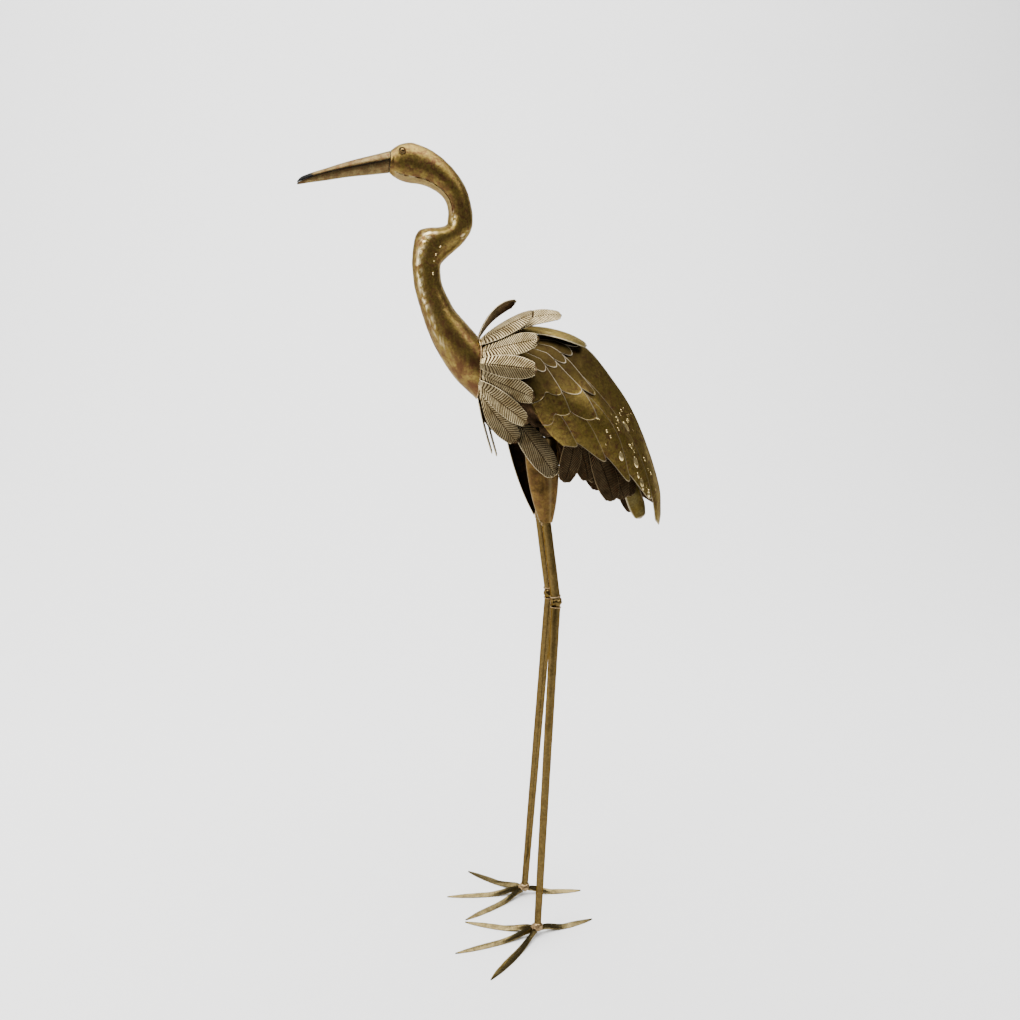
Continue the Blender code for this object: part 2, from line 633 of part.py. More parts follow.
def build_toe(side_name, side, name, turn_deg, length):
    """A folded strip with a ridge: arched at the ankle, flat on the ground towards its tip."""
    _, _, ankle = leg_points(side)
    turn = math.radians(turn_deg)
    forward = Vector((-math.cos(turn), side * math.sin(turn), 0.0))
    across = Vector((-forward.y, forward.x, 0.0))
    start = ANKLE_WELD_R + 2.0 * CLEARANCE
    rings = []
    shares = (0.0, 0.10, 0.25, TOE_FLAT_FROM, 0.62, 0.80, 0.93, 1.0)
    widths = (0.42, 0.50, 0.72, 0.95, 1.00, 0.80, 0.45, 0.14)
    heights = (0.75, 0.95, 1.00, 0.95, 0.82, 0.62, 0.42, 0.28)
    for share, width, height in zip(shares, widths, heights):
        distance = start + (length - start) * share
        lifted = max(0.0, 1.0 - share / TOE_FLAT_FROM)
        floor = TOE_ARCH * lifted * lifted * (3.0 - 2.0 * lifted)
        middle = Vector((ankle.x, ankle.y, floor)) + forward * distance
        half = TOE_HALF_WIDTH * width
        ridge = TOE_RIDGE * height * (0.62 + 0.38 * lifted)
        rings.append([
            middle - across * half,
            middle - across * half + Vector((0.0, 0.0, 0.22 * ridge)),
            middle - across * half * 0.45 + Vector((0.0, 0.0, 0.72 * ridge)),
            middle + Vector((0.0, 0.0, ridge)),
            middle + across * half * 0.45 + Vector((0.0, 0.0, 0.72 * ridge)),
            middle + across * half + Vector((0.0, 0.0, 0.22 * ridge)),
            middle + across * half,
        ])
    bm = bmesh.new()
    loft(bm, rings)
    add_mesh("toe_{}_{}".format(side_name, name), bm, TUBE_BRASS)


build_neck()
build_beak()
build_body()
for side_label, side_sign in SIDES:
    build_wing(side_label, side_sign)
    for index, (plate_angle, plate_length, plate_layer, plate_turn) in enumerate(COLLAR_PLATES):
        plate_name = "collar_feather_{}_{}".format(side_label, index + 1)
        plate_bent = COLLAR_BENT.get((side_label, index + 1), 0.0)
        build_collar_feather(
            plate_name, side_sign, plate_angle, plate_length, plate_layer, plate_turn, plate_bent)
    throat_name = "collar_feather_{}_{}".format(side_label, len(COLLAR_PLATES) + 1)
    build_free_plate(throat_name, side_sign, *THROAT_PLATES[side_label], 0.95, LEAF, AGED_BRASS)
    for pattern, plate in FREE_PLATES.items():
        build_free_plate(pattern.format(side_label), side_sign, *plate, AGED_BRASS)
    build_skirt(side_label, side_sign)
    build_thigh(side_label, side_sign)
    build_leg(side_label, side_sign)
    for toe_name, (toe_turn, toe_length) in TOES[side_label].items():
        build_toe(side_label, side_sign, toe_name, toe_turn, toe_length)

# Move everything so that the origin is under the middle of the statue's box
bpy.context.view_layer.update()
graph = bpy.context.evaluated_depsgraph_get()
corners = []
for piece in statue.objects:
    evaluated_piece = piece.evaluated_get(graph)
    corners += [evaluated_piece.matrix_world @ Vector(corner) for corner in evaluated_piece.bound_box]
low_corner = Vector([min(corner[k] for corner in corners) for k in range(3)])
high_corner = Vector([max(corner[k] for corner in corners) for k in range(3)])
shift = Vector((-0.5 * (low_corner.x + high_corner.x), -0.5 * (low_corner.y + high_corner.y), -low_corner.z))
for piece in list(statue.objects) + list(cutters.objects):
    piece.location += shift
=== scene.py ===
"""Fine pieces, finishes and studio for a welded brass garden crane, built around its solid frame.

Metres, +Z up. The bird faces -X and its left side is -Y. Shapes are worked out from the middle of
the neck's seam with the collar, and moved to where the frame's own neck is.
"""

import math
import random

import bmesh
import bpy
from bpy.props import FloatProperty, FloatVectorProperty, IntProperty, PointerProperty
from bpy.types import Operator, Panel, PropertyGroup
from mathutils import Matrix, Vector, noise


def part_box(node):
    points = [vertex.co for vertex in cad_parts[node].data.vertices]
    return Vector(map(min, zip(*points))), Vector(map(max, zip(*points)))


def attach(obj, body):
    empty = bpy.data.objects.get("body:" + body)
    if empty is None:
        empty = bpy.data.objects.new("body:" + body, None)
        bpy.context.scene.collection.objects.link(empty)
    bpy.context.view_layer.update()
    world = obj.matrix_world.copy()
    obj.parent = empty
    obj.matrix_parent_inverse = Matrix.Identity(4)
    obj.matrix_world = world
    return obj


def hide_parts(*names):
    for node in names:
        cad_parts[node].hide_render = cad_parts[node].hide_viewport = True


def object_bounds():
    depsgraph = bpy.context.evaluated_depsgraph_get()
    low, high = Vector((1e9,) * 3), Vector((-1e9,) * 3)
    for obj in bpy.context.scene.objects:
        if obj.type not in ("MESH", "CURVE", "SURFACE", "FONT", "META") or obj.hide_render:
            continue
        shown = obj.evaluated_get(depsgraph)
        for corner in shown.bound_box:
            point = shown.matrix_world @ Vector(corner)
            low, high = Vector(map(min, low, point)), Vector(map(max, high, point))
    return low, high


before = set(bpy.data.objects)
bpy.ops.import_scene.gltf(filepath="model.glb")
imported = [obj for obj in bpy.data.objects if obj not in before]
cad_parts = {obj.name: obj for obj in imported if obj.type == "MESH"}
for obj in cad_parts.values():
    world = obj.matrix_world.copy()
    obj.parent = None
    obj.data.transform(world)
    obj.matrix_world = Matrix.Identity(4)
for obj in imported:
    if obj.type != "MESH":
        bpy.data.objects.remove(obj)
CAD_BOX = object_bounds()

bl_info = {
    "name": "Crane garden statue",
    "version": (1, 0, 0),
    "blender": (4, 5, 0),
    "location": "View3D > Sidebar > Crane",
    "description": "Pressed, chased and welded brass pieces of a standing garden crane",
    "category": "Object",
}

# Main sizes, as in the frame
ANKLE_Z = 0.012
LOWER_LEG_RISE = 0.442
UPPER_LEG_RISE = 0.196
BODY_RISE = 0.103
NECK_RISE = 0.267
BODY_LENGTH = 0.215
SHEET = 0.0011

# Legs: distance between the two sides, distance behind the neck seam, and radii
ANKLE_SPREAD = 0.103
KNEE_SPREAD = 0.044
HIP_SPREAD = 0.047
ANKLE_SET = 0.070
KNEE_SET = 0.0975
HIP_SET = 0.072
KNEE_TUBE_R = 0.0062
ANKLE_TUBE_R = 0.0047
UPPER_TUBE_R = 0.0058
KNEE_BALL_R = 0.0084
ANKLE_WELD_R = 0.0080
TUBE_END_SHARE = 0.8            # where the tubes end in the knee ball, as a share of its radius
KNEE_BEAD_SHARE = 0.86          # where the beads of weld lie round it

# Neck seam, beak and eyes
SEAM_HALF_HEIGHT = 0.0378
SEAM_HALF_WIDTH = 0.0300
SEAM_BEAD_SHARE = 0.985         # where the weld round the seam lies
BEAK_LENGTH = 0.1090
BEAK_HALF_GAP = 0.0002
EYE_R = 0.0042
EYE_RIM_R = 0.0009
EYE_LEVEL = 0.56                # height of the eyes as a share of the head's half height

# Collar and plates: depth and flare of the collar, ribs, and how far one layer lies over the next
COLLAR_DEPTH = 0.063
COLLAR_FALL = math.radians(16.0)
COLLAR_FLARE_HEIGHT = 0.060
COLLAR_FLARE_WIDTH = 0.033
COLLAR_TUCK = 0.75
COLLAR_TUCK_FROM = math.radians(95.0)
FEATHER_WIDTH = 0.029
FEATHER_RIB = 0.0009
LAYER = 0.0024
WING_STEP = 0.0013
COVERT_STEP = 0.0011
FEATHER_CROWN = 0.0007

# Thighs
THIGH_HALF_WIDTH = 0.0215
THIGH_HALF_DEPTH = 0.0100
THIGH_RISE = 0.0100
THIGH_DROP = 0.0910
THIGH_SET = {"left": 0.006, "right": -0.010}
THIGH_TUCK = 0.010              # how much further than the frame's it reaches up under the wing
THIGH_OUT = 0.003
THIGH_PINCH_GAP = 0.0014
THIGH_WRAP = math.radians(98.0)
THIGH_CREASE = 0.22             # where the crease lies across the sheet, from -1 to 1

# Toes, and their half width and ridge height as shares along their length
TOE_HALF_WIDTH = 0.0056
TOE_ARCH = 0.0060
TOE_RIDGE = 0.0085
TOE_FLAT_FROM = 0.45
TOE_SECTIONS = (
    (0.00, 0.42, 0.75),
    (0.10, 0.50, 0.95),
    (0.25, 0.72, 1.00),
    (TOE_FLAT_FROM, 0.95, 0.95),
    (0.62, 1.00, 0.82),
    (0.80, 0.80, 0.62),
    (0.93, 0.45, 0.42),
    (1.00, 0.14, 0.28),
)

# Neck sections from the seam to the beak: middle (x, z) and half length (x, z) along the profile,
# as shares of NECK_RISE, and the half width as a share of the seam's
NECK_SECTIONS = (
    (0.000, 0.000, 0.009, 0.141, 1.00),
    (-0.075, 0.078, 0.032, 0.122, 0.92),
    (-0.145, 0.175, 0.044, 0.091, 0.78),
    (-0.178, 0.245, 0.055, 0.060, 0.68),
    (-0.206, 0.320, 0.058, 0.035, 0.59),
    (-0.223, 0.380, 0.062, 0.015, 0.54),
    (-0.230, 0.440, 0.064, 0.001, 0.53),
    (-0.228, 0.483, 0.067, -0.010, 0.53),
    (-0.209, 0.541, 0.074, -0.040, 0.54),
    (-0.184, 0.573, 0.077, -0.048, 0.54),
    (-0.149, 0.591, 0.069, -0.043, 0.52),
    (-0.111, 0.607, 0.060, -0.029, 0.50),
    (-0.082, 0.633, 0.057, -0.013, 0.48),
    (-0.074, 0.667, 0.058, 0.000, 0.46),
    (-0.076, 0.710, 0.055, 0.010, 0.45),
    (-0.092, 0.772, 0.050, 0.026, 0.45),
    (-0.127, 0.823, 0.043, 0.044, 0.47),
    (-0.178, 0.867, 0.034, 0.063, 0.50),
    (-0.232, 0.896, 0.021, 0.078, 0.54),
    (-0.290, 0.911, 0.014, 0.087, 0.55),
    (-0.322, 0.915, 0.012, 0.084, 0.54),
    (-0.354, 0.917, 0.008, 0.072, 0.50),
    (-0.384, 0.917, 0.005, 0.050, 0.42),
)
NECK_FLATNESS = 1.12            # above 1, the neck's sides run flatter into its seams

# Places round the neck, close together at both seams and at the throat's edges
HALF_NECK_ANGLES = (
    0.0, 0.030, 0.065, 0.12, 0.22, 0.36, 0.52, 0.70, 0.90, 1.10, 1.30, 1.50, 1.70, 1.88, 2.04,
    2.16, 2.25, 2.30, 2.34, 2.37, 2.40, 2.44, 2.50, 2.60, 2.74, 2.90, 3.02, 3.076, 3.112)

# Weld and gap at the throat's edge, as angles from the neck's front
THROAT_WELD = 0.770
THROAT_GAP = 0.805

# Small raised lumps on the side of the neck, painted bright as glints: share along it, angle round it, size
NECK_GLINT_LUMPS = ((0.392, 5.027, 0.0010), (0.350, 5.06, 0.0011), (0.326, 5.105, 0.0008), (0.264, 5.105, 0.0012))

# Beak sections as shares of BEAK_LENGTH: distance, top, split, bottom, half width
BEAK_SECTIONS = (
    (0.000, 0.115, 0.020, -0.120, 0.105),
    (0.130, 0.080, -0.010, -0.135, 0.092),
    (0.440, 0.000, -0.070, -0.168, 0.072),
    (0.680, -0.075, -0.120, -0.205, 0.052),
    (0.850, -0.128, -0.172, -0.228, 0.034),
    (0.955, -0.170, -0.210, -0.245, 0.020),
    (1.000, -0.215, -0.230, -0.250, 0.009),
)

# Outline of a beak half: share of its half width and of its height
BEAK_OUTLINE = (
    (-1.0, 0.0), (-0.99, 0.18), (-0.93, 0.40), (-0.80, 0.62), (-0.58, 0.80), (-0.30, 0.93), (0.0, 1.0),
    (0.30, 0.93), (0.58, 0.80), (0.80, 0.62), (0.93, 0.40), (0.99, 0.18), (1.0, 0.0))

# Lines between the wing's long feathers as shares of BODY_LENGTH: backwards, sideways, upwards
WING_LINES = (
    ((0.15, 0.19, 0.02), (0.23, 0.215, -0.10), (0.30, 0.235, -0.24),
     (0.375, 0.25, -0.35), (0.455, 0.26, -0.425), (0.53, 0.262, -0.50)),
    ((0.15, 0.19, 0.05), (0.255, 0.22, -0.055), (0.36, 0.25, -0.155),
     (0.46, 0.26, -0.275), (0.535, 0.26, -0.41), (0.60, 0.26, -0.545)),
    ((0.155, 0.18, 0.08), (0.315, 0.215, -0.035), (0.475, 0.245, -0.155),
     (0.61, 0.25, -0.305), (0.705, 0.24, -0.49), (0.78, 0.23, -0.68)),
    ((0.17, 0.16, 0.115), (0.40, 0.185, -0.005), (0.61, 0.20, -0.15),
     (0.775, 0.21, -0.355), (0.86, 0.205, -0.61), (0.92, 0.195, -0.86)),
    ((0.20, 0.125, 0.15), (0.49, 0.13, 0.035), (0.71, 0.14, -0.17),
     (0.905, 0.14, -0.445), (1.01, 0.15, -0.74), (1.03, 0.15, -1.03)),
    ((0.24, 0.055, 0.18), (0.575, 0.015, 0.15), (0.82, 0.012, -0.11),
     (0.975, 0.025, -0.385), (1.095, 0.055, -0.78), (1.055, 0.10, -1.12)),
)
WING_LINE_END = 0.8
TIP_REACH = (0.052, 0.078, 0.070, 0.044, 0.125)
FAR_TIP_SHARE = 0.4             # how much of its reach the far wing's last feather keeps

# Rows of short covert feathers: where they end along the wing and how many strips each row covers
COVERT_ROWS = ((0.165, 5), (0.405, 3), (0.635, 2))
COVERT_SCALLOP = 0.070
COVERT_LEAN = 0.75
COVERT_SPLIT = 0.38
COVERT_LIFT = 0.0014
COVERT_CROWN = 0.0006
COVERT_ROW_PITCH = 0.0085

# Stations along a plate and its half width there
PLATE_STATIONS = (0.0, 0.20, 0.40, 0.60, 0.78, 0.92, 1.0)
LEAF = (0.42, 0.74, 0.95, 1.00, 0.92, 0.68, 0.26)
BLADE = (0.62, 0.82, 0.95, 1.00, 0.96, 0.74, 0.28)

# Collar plates: angle from the top, length as a share of the depth, layer and turn
COLLAR_PLATES = (
    (28.0, 1.00, 0, 0.0),
    (55.0, 1.06, 1, 0.0),
    (78.0, 1.04, 0, 0.0),
    (98.0, 1.02, 1, 0.0),
    (118.0, 1.00, 0, 0.0),
    (138.0, 1.06, 1, 22.0),
)
COLLAR_ROOT = -0.012
COLLAR_BENT = {("right", 1): math.radians(33.0)}
COLLAR_BENT_CURL = 0.60

# Free plates: root, middle, tip, facing, width and outline
FREE_PLATES = {
    "shoulder_feather_{}_high": (
        (0.10, 0.048, 0.175), (0.265, 0.060, 0.275), (0.475, 0.072, 0.302), (-0.3, 0.6, 0.8), 0.92, LEAF),
    "shoulder_feather_{}_low": (
        (0.195, 0.112, -0.275), (0.305, 0.180, -0.432), (0.415, 0.226, -0.60), (0.1, 1.0, 0.15), 1.12, LEAF),
    "back_feather_{}": (
        (0.22, 0.055, 0.222), (0.44, 0.060, 0.200), (0.632, 0.060, 0.125), (0.3, 0.5, 0.85), 0.66, BLADE),
    "tail_feather_{}": (
        (0.834, 0.120, -0.572), (0.909, 0.104, -0.736), (0.969, 0.091, -0.901), (0.22, 1.0, 0.0),
        0.80, BLADE),
}

# The lowest collar plate of each side hangs edge-on before the throat
THROAT_PLATES = {
    "left": (
        (0.004, 0.012, -0.195), (0.038, 0.012, -0.345), (0.080, 0.012, -0.495), (-1.0, -0.16, -0.3),
        0.95, LEAF),
    "right": (
        (0.034, 0.012, -0.200), (0.070, 0.012, -0.360), (0.112, 0.012, -0.515), (-1.0, 0.16, -0.3),
        0.95, LEAF),
}

# Skirt plates: root, tip and width
SKIRT_PLATES = (
    ((0.530, -0.350), (0.470, -0.638), 0.95),
    ((0.530, -0.370), (0.620, -0.640), 0.95),
    ((0.590, -0.400), (0.675, -0.655), 0.95),
    ((0.640, -0.440), (0.775, -0.768), 1.05),
    ((0.700, -0.470), (0.850, -0.765), 0.95),
    ((0.780, -0.500), (0.898, -0.752), 0.85),
)
SKIRT_HALF_WIDTH = 0.222
SKIRT_CLOSING = 0.22

# Toes: turn from straight ahead in degrees and length
TOES = {
    "left": {
        "middle": (13.7, 0.117), "outer": (50.2, 0.119), "inner": (-25.2, 0.102), "back": (196.5, 0.084)},
    "right": {
        "middle": (4.5, 0.110), "outer": (45.9, 0.103), "inner": (-30.8, 0.106), "back": (182.9, 0.081)},
}

SIDES = (("left", -1.0), ("right", 1.0))
ACROSS = Vector((0.0, 1.0, 0.0))
KNEE_Z = ANKLE_Z + LOWER_LEG_RISE
HIP_Z = KNEE_Z + UPPER_LEG_RISE
SEAM_UP = Vector((0.063, 0.0, 0.998)).normalized()

# The frame's own neck says where the seam stands
NECK_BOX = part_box("neck_and_head")
SEAM = Vector((
    NECK_BOX[1].x - NECK_SECTIONS[0][2] * NECK_RISE,
    0.5 * (NECK_BOX[0].y + NECK_BOX[1].y),
    HIP_Z + BODY_RISE,
))
GROUND = Vector((SEAM.x, SEAM.y, 0.0))


class CraneRelief(PropertyGroup):
    """Relief that the tools leave in the sheet."""

    barb_pitch: FloatProperty(
        name="Barb pitch", description="Distance between the chased lines of a collar feather",
        default=0.0030, min=0.001, max=0.01, unit="LENGTH")
    skirt_pitch: FloatProperty(
        name="Skirt barb pitch", description="Distance between the chased lines of a skirt feather",
        default=0.0024, min=0.001, max=0.01, unit="LENGTH")
    groove_depth: FloatProperty(
        name="Groove depth", description="Depth of the chased lines",
        default=0.00042, min=0.0, max=0.002, unit="LENGTH")
    barb_slope: FloatProperty(
        name="Barb slope", description="How far a chased line runs forward for each step sideways",
        default=0.80, min=0.0, max=1.5)
    dent_depth: FloatProperty(
        name="Dent depth", description="Depth of the hammered unevenness of the neck and body",
        default=0.00050, min=0.0, max=0.003, unit="LENGTH")
    seam_height: FloatProperty(
        name="Seam height", description="Height of the weld bead along the neck",
        default=0.00050, min=0.0, max=0.003, unit="LENGTH")


class CraneFinish(PropertyGroup):
    """Colours of the brass and of its patina."""

    brass: FloatVectorProperty(
        name="Brass", description="Clean aged brass of the neck and wings", subtype="COLOR",
        size=3, default=(0.215, 0.150, 0.040), min=0.0, max=1.0)
    olive: FloatVectorProperty(
        name="Olive tarnish", description="Tarnish over the neck and wings", subtype="COLOR",
        size=3, default=(0.128, 0.090, 0.020), min=0.0, max=1.0)
    rust: FloatVectorProperty(
        name="Red patina", description="Reddish brown patches", subtype="COLOR",
        size=3, default=(0.085, 0.040, 0.018), min=0.0, max=1.0)
    pale: FloatVectorProperty(
        name="Burnished edge", description="Rubbed ridges and feather edges", subtype="COLOR",
        size=3, default=(0.62, 0.54, 0.38), min=0.0, max=1.0)
    groove: FloatVectorProperty(
        name="Groove", description="Dark tarnish left in the chased lines", subtype="COLOR",
        size=3, default=(0.026, 0.016, 0.007), min=0.0, max=1.0)
    copper: FloatVectorProperty(
        name="Weld copper", description="Coppery weld beads", subtype="COLOR",
        size=3, default=(0.28, 0.195, 0.10), min=0.0, max=1.0)


class CraneStudio(PropertyGroup):
    """Camera and light."""

    lens: FloatProperty(
        name="Lens", description="Focal length on a 36 mm square sensor",
        default=40.94, min=10.0, max=200.0)
    camera_height: FloatProperty(
        name="Camera height", description="Height of the camera above the floor",
        default=0.88, min=0.1, max=3.0, unit="LENGTH")
    camera_distance: FloatProperty(
        name="Camera distance", description="Level distance from the statue to the camera",
        default=1.45, min=0.3, max=10.0, unit="LENGTH")
    camera_side: FloatProperty(
        name="Camera side", description="How far the camera stands round to the beak's side",
        default=math.radians(9.0), subtype="ANGLE")
    camera_tilt: FloatProperty(
        name="Camera tilt", description="How far the camera looks down",
        default=math.radians(12.0), subtype="ANGLE")
    floor: FloatVectorProperty(
        name="Floor", description="Colour of the floor and backdrop", subtype="COLOR",
        size=3, default=(0.82, 0.82, 0.82), min=0.0, max=1.0)
    key_power: FloatProperty(
        name="Key light", description="Power of the large light at the beak's side",
        default=34.0, min=0.0, max=500.0, unit="POWER")
    surround: FloatProperty(
        name="Surround", description="Brightness of the even light all round",
        default=0.32, min=0.0, max=3.0)


# Small shape helpers
def curve_point(points, share):
    """A point at a share of a smooth curve through the points."""
    last = len(points) - 1
    place = min(max(share, 0.0), 1.0) * last
    i = min(int(place), last - 1)
    t = place - i
    p1, p2 = points[i], points[i + 1]
    p0 = points[i - 1] if i > 0 else p1 * 2.0 - p2
    p3 = points[i + 2] if i + 2 <= last else p2 * 2.0 - p1
    return 0.5 * (2.0 * p1 + (p2 - p0) * t + (2.0 * p0 - 5.0 * p1 + 4.0 * p2 - p3) * t * t
                  + (3.0 * p1 - p0 - 3.0 * p2 + p3) * t * t * t)


def from_seam(shares, side):
    """A point given backwards, sideways and upwards from the neck seam, in body lengths."""
    return SEAM + Vector((shares[0], side * shares[1], shares[2])) * BODY_LENGTH


def smooth_step(low, high, value):
    """A smooth climb from 0 at low to 1 at high."""
    t = min(max((value - low) / (high - low), 0.0), 1.0)
    return t * t * (3.0 - 2.0 * t)


def bell(value, centre, width):
    """1 at the centre, falling smoothly to 0 on both sides."""
    return math.exp(-((value - centre) / width) ** 2)


def pick(values, share):
    """The value that stands at a share of the way through a list."""
    return values[round(share * (len(values) - 1))]


def ring_points(centre, first, second, steps):
    """Points once round an ellipse with the two half axes; the last is the first again."""
    angles = [2.0 * math.pi * step / steps for step in range(steps + 1)]
    return [centre + first * math.cos(angle) + second * math.sin(angle) for angle in angles]


def rough(point, grain, seed=0.0):
    """Smooth unevenness between -1 and 1 at a point."""
    return noise.noise(point / grain + Vector((seed, 1.7 * seed, -seed)))


def mapped_grid(rows, columns, place, marks=()):
    """A grid whose points lie where place says; place also gives the values of the marks."""
    bm = bmesh.new()
    bmesh.ops.create_grid(bm, x_segments=columns, y_segments=rows, size=0.5)
    layers = [bm.verts.layers.float.new(mark) for mark in marks]
    for vert in bm.verts:
        point, values = place(vert.co.y + 0.5, vert.co.x + 0.5)
        vert.co = point
        for layer, value in zip(layers, values):
            vert[layer] = value
    return bm


def closed_skin(rows, columns, place, marks=()):
    """A grid wrapped round into a tube, with its ends closed."""
    bm = mapped_grid(rows, columns, place, marks)
    bmesh.ops.remove_doubles(bm, verts=bm.verts, dist=0.000002)
    bmesh.ops.dissolve_degenerate(bm, edges=bm.edges, dist=0.000002)
    rims = [edge for edge in bm.edges if edge.is_boundary]
    if rims:
        bmesh.ops.holes_fill(bm, edges=rims, sides=0)
    bmesh.ops.recalc_face_normals(bm, faces=bm.faces)
    return bm


def add_piece(name, bm, finish, nodes=(), sharp=40.0, margin=0.0):
    """Turn a bmesh into a piece of the statue that rides with the frame.

    Sharp is the angle in degrees above which an edge is shaded sharp; margin keeps the piece inside the
    frame's own box.
    """
    low, high = CAD_BOX
    for vert in bm.verts:
        for k in range(3):
            vert.co[k] = min(max(vert.co[k], low[k] + margin), high[k] - margin)
    mesh = bpy.data.meshes.new(name)
    bm.to_mesh(mesh)
    bm.free()
    mesh.shade_smooth()
    mesh.set_sharp_from_angle(angle=math.radians(sharp))
    mesh.materials.append(bpy.data.materials[finish])
    obj = bpy.data.objects.new(name, mesh)
    bpy.context.scene.collection.objects.link(obj)
    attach(obj, "root")
    if nodes:
        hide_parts(*nodes)
    return obj


def add_plate(name, rows, columns, place, marks, outward, finish, nodes):
    """A sheet plate: its outer face is a mapped grid, its thickness lies behind it and its back is dark with
    painted shade.

    Points whose mark "drop" is set are left out.
    """
    bm = mapped_grid(rows, columns, place, marks)
    if "drop" in marks:
        drop = bm.verts.layers.float["drop"]
        bmesh.ops.delete(bm, geom=[vert for vert in bm.verts if vert[drop] > 0.5], context="VERTS")
        bm.verts.layers.float.remove(bm.verts.layers.float["drop"])
    bmesh.ops.remove_doubles(bm, verts=bm.verts, dist=0.00001)
    bmesh.ops.dissolve_degenerate(bm, edges=bm.edges, dist=0.00001)
    bm.normal_update()
    facing = sum((face.normal * face.calc_area() for face in bm.faces), Vector())
    if facing.dot(outward) < 0.0:
        bmesh.ops.reverse_faces(bm, faces=bm.faces)
    obj = add_piece(name, bm, finish, nodes, margin=SHEET)
    # Backs of the plates: darker brass as painted shade.
    obj.data.materials.append(bpy.data.materials["painted shade brass"])
    wall = obj.modifiers.new("sheet thickness", "SOLIDIFY")
    wall.thickness = SHEET
    wall.offset = -1.0
    wall.material_offset = 1


def add_bead(name, path, radius, lumps, seed):
    """A lumpy run of weld along a path, round at both ends."""
    points = [Vector(point) for point in path]
    aside = Vector((0.31, 0.17, 0.93))      # no bead runs this way

    def place(row_share, column_share):
        here = curve_point(points, row_share)
        ahead = curve_point(points, row_share + 0.01) - curve_point(points, row_share - 0.01)
        sideways = ahead.cross(aside).normalized()
        upwards = sideways.cross(ahead).normalized()
        ends = math.sqrt(max(0.0, 1.0 - (2.0 * row_share - 1.0) ** 8))
        lump = 0.78 + 0.22 * abs(math.sin(math.pi * row_share * lumps))
        r = radius * ends * lump * (1.0 + 0.25 * rough(here, 0.004, seed))
        angle = 2.0 * math.pi * column_share
        return here + (sideways * math.cos(angle) + upwards * math.sin(angle)) * r, ()

    add_piece(name, closed_skin(lumps * 6, 10, place), "weld brass")


# Finishes
EDGE_TINT = (0.78, 0.72, 0.60)


def feed(tree, socket, source):
    """Link a socket to another one, or set it to a number or colour."""
    if isinstance(source, bpy.types.NodeSocket):
        tree.links.new(source, socket)
    else:
        socket.default_value = source


def value_math(tree, operation, a, b, clamp=False):
    """A math node between two sockets or numbers."""
    node = tree.nodes.new("ShaderNodeMath")
    node.operation = operation
    node.use_clamp = clamp
    for socket, source in zip(node.inputs, (a, b)):
        feed(tree, socket, source)
    return node.outputs[0]


def mix_colour(tree, share, a, b):
    """Mix two colours, which may be sockets or colours, by a share."""
    node = tree.nodes.new("ShaderNodeMix")
    node.data_type = "RGBA"
    for name, source in (("Factor_Float", share), ("A_Color", a), ("B_Color", b)):
        feed(tree, next(s for s in node.inputs if s.identifier == name), source)
    return next(s for s in node.outputs if s.identifier == "Result_Color")


def noise_field(tree, vector, scale, detail, roughness=0.55, distortion=0.0):
    """A noise texture of the given grain."""
    node = tree.nodes.new("ShaderNodeTexNoise")
    for name, source in (
            ("Vector", vector), ("Scale", scale), ("Detail", detail), ("Roughness", roughness),
            ("Distortion", distortion)):
        feed(tree, node.inputs[name], source)
    return node.outputs["Fac"]


def spread(tree, source, low, high, to_low=0.0, to_high=1.0):
    """Map a range of a value onto another, held at its ends."""
    node = tree.nodes.new("ShaderNodeMapRange")
    node.clamp = True
    tree.links.new(source, node.inputs["Value"])
    for name, value in (("From Min", low), ("From Max", high), ("To Min", to_low), ("To Max", to_high)):
        node.inputs[name].default_value = value
    return node.outputs["Result"]


def opaque(colour):
    """A colour with full alpha."""
    return (*colour, 1.0)


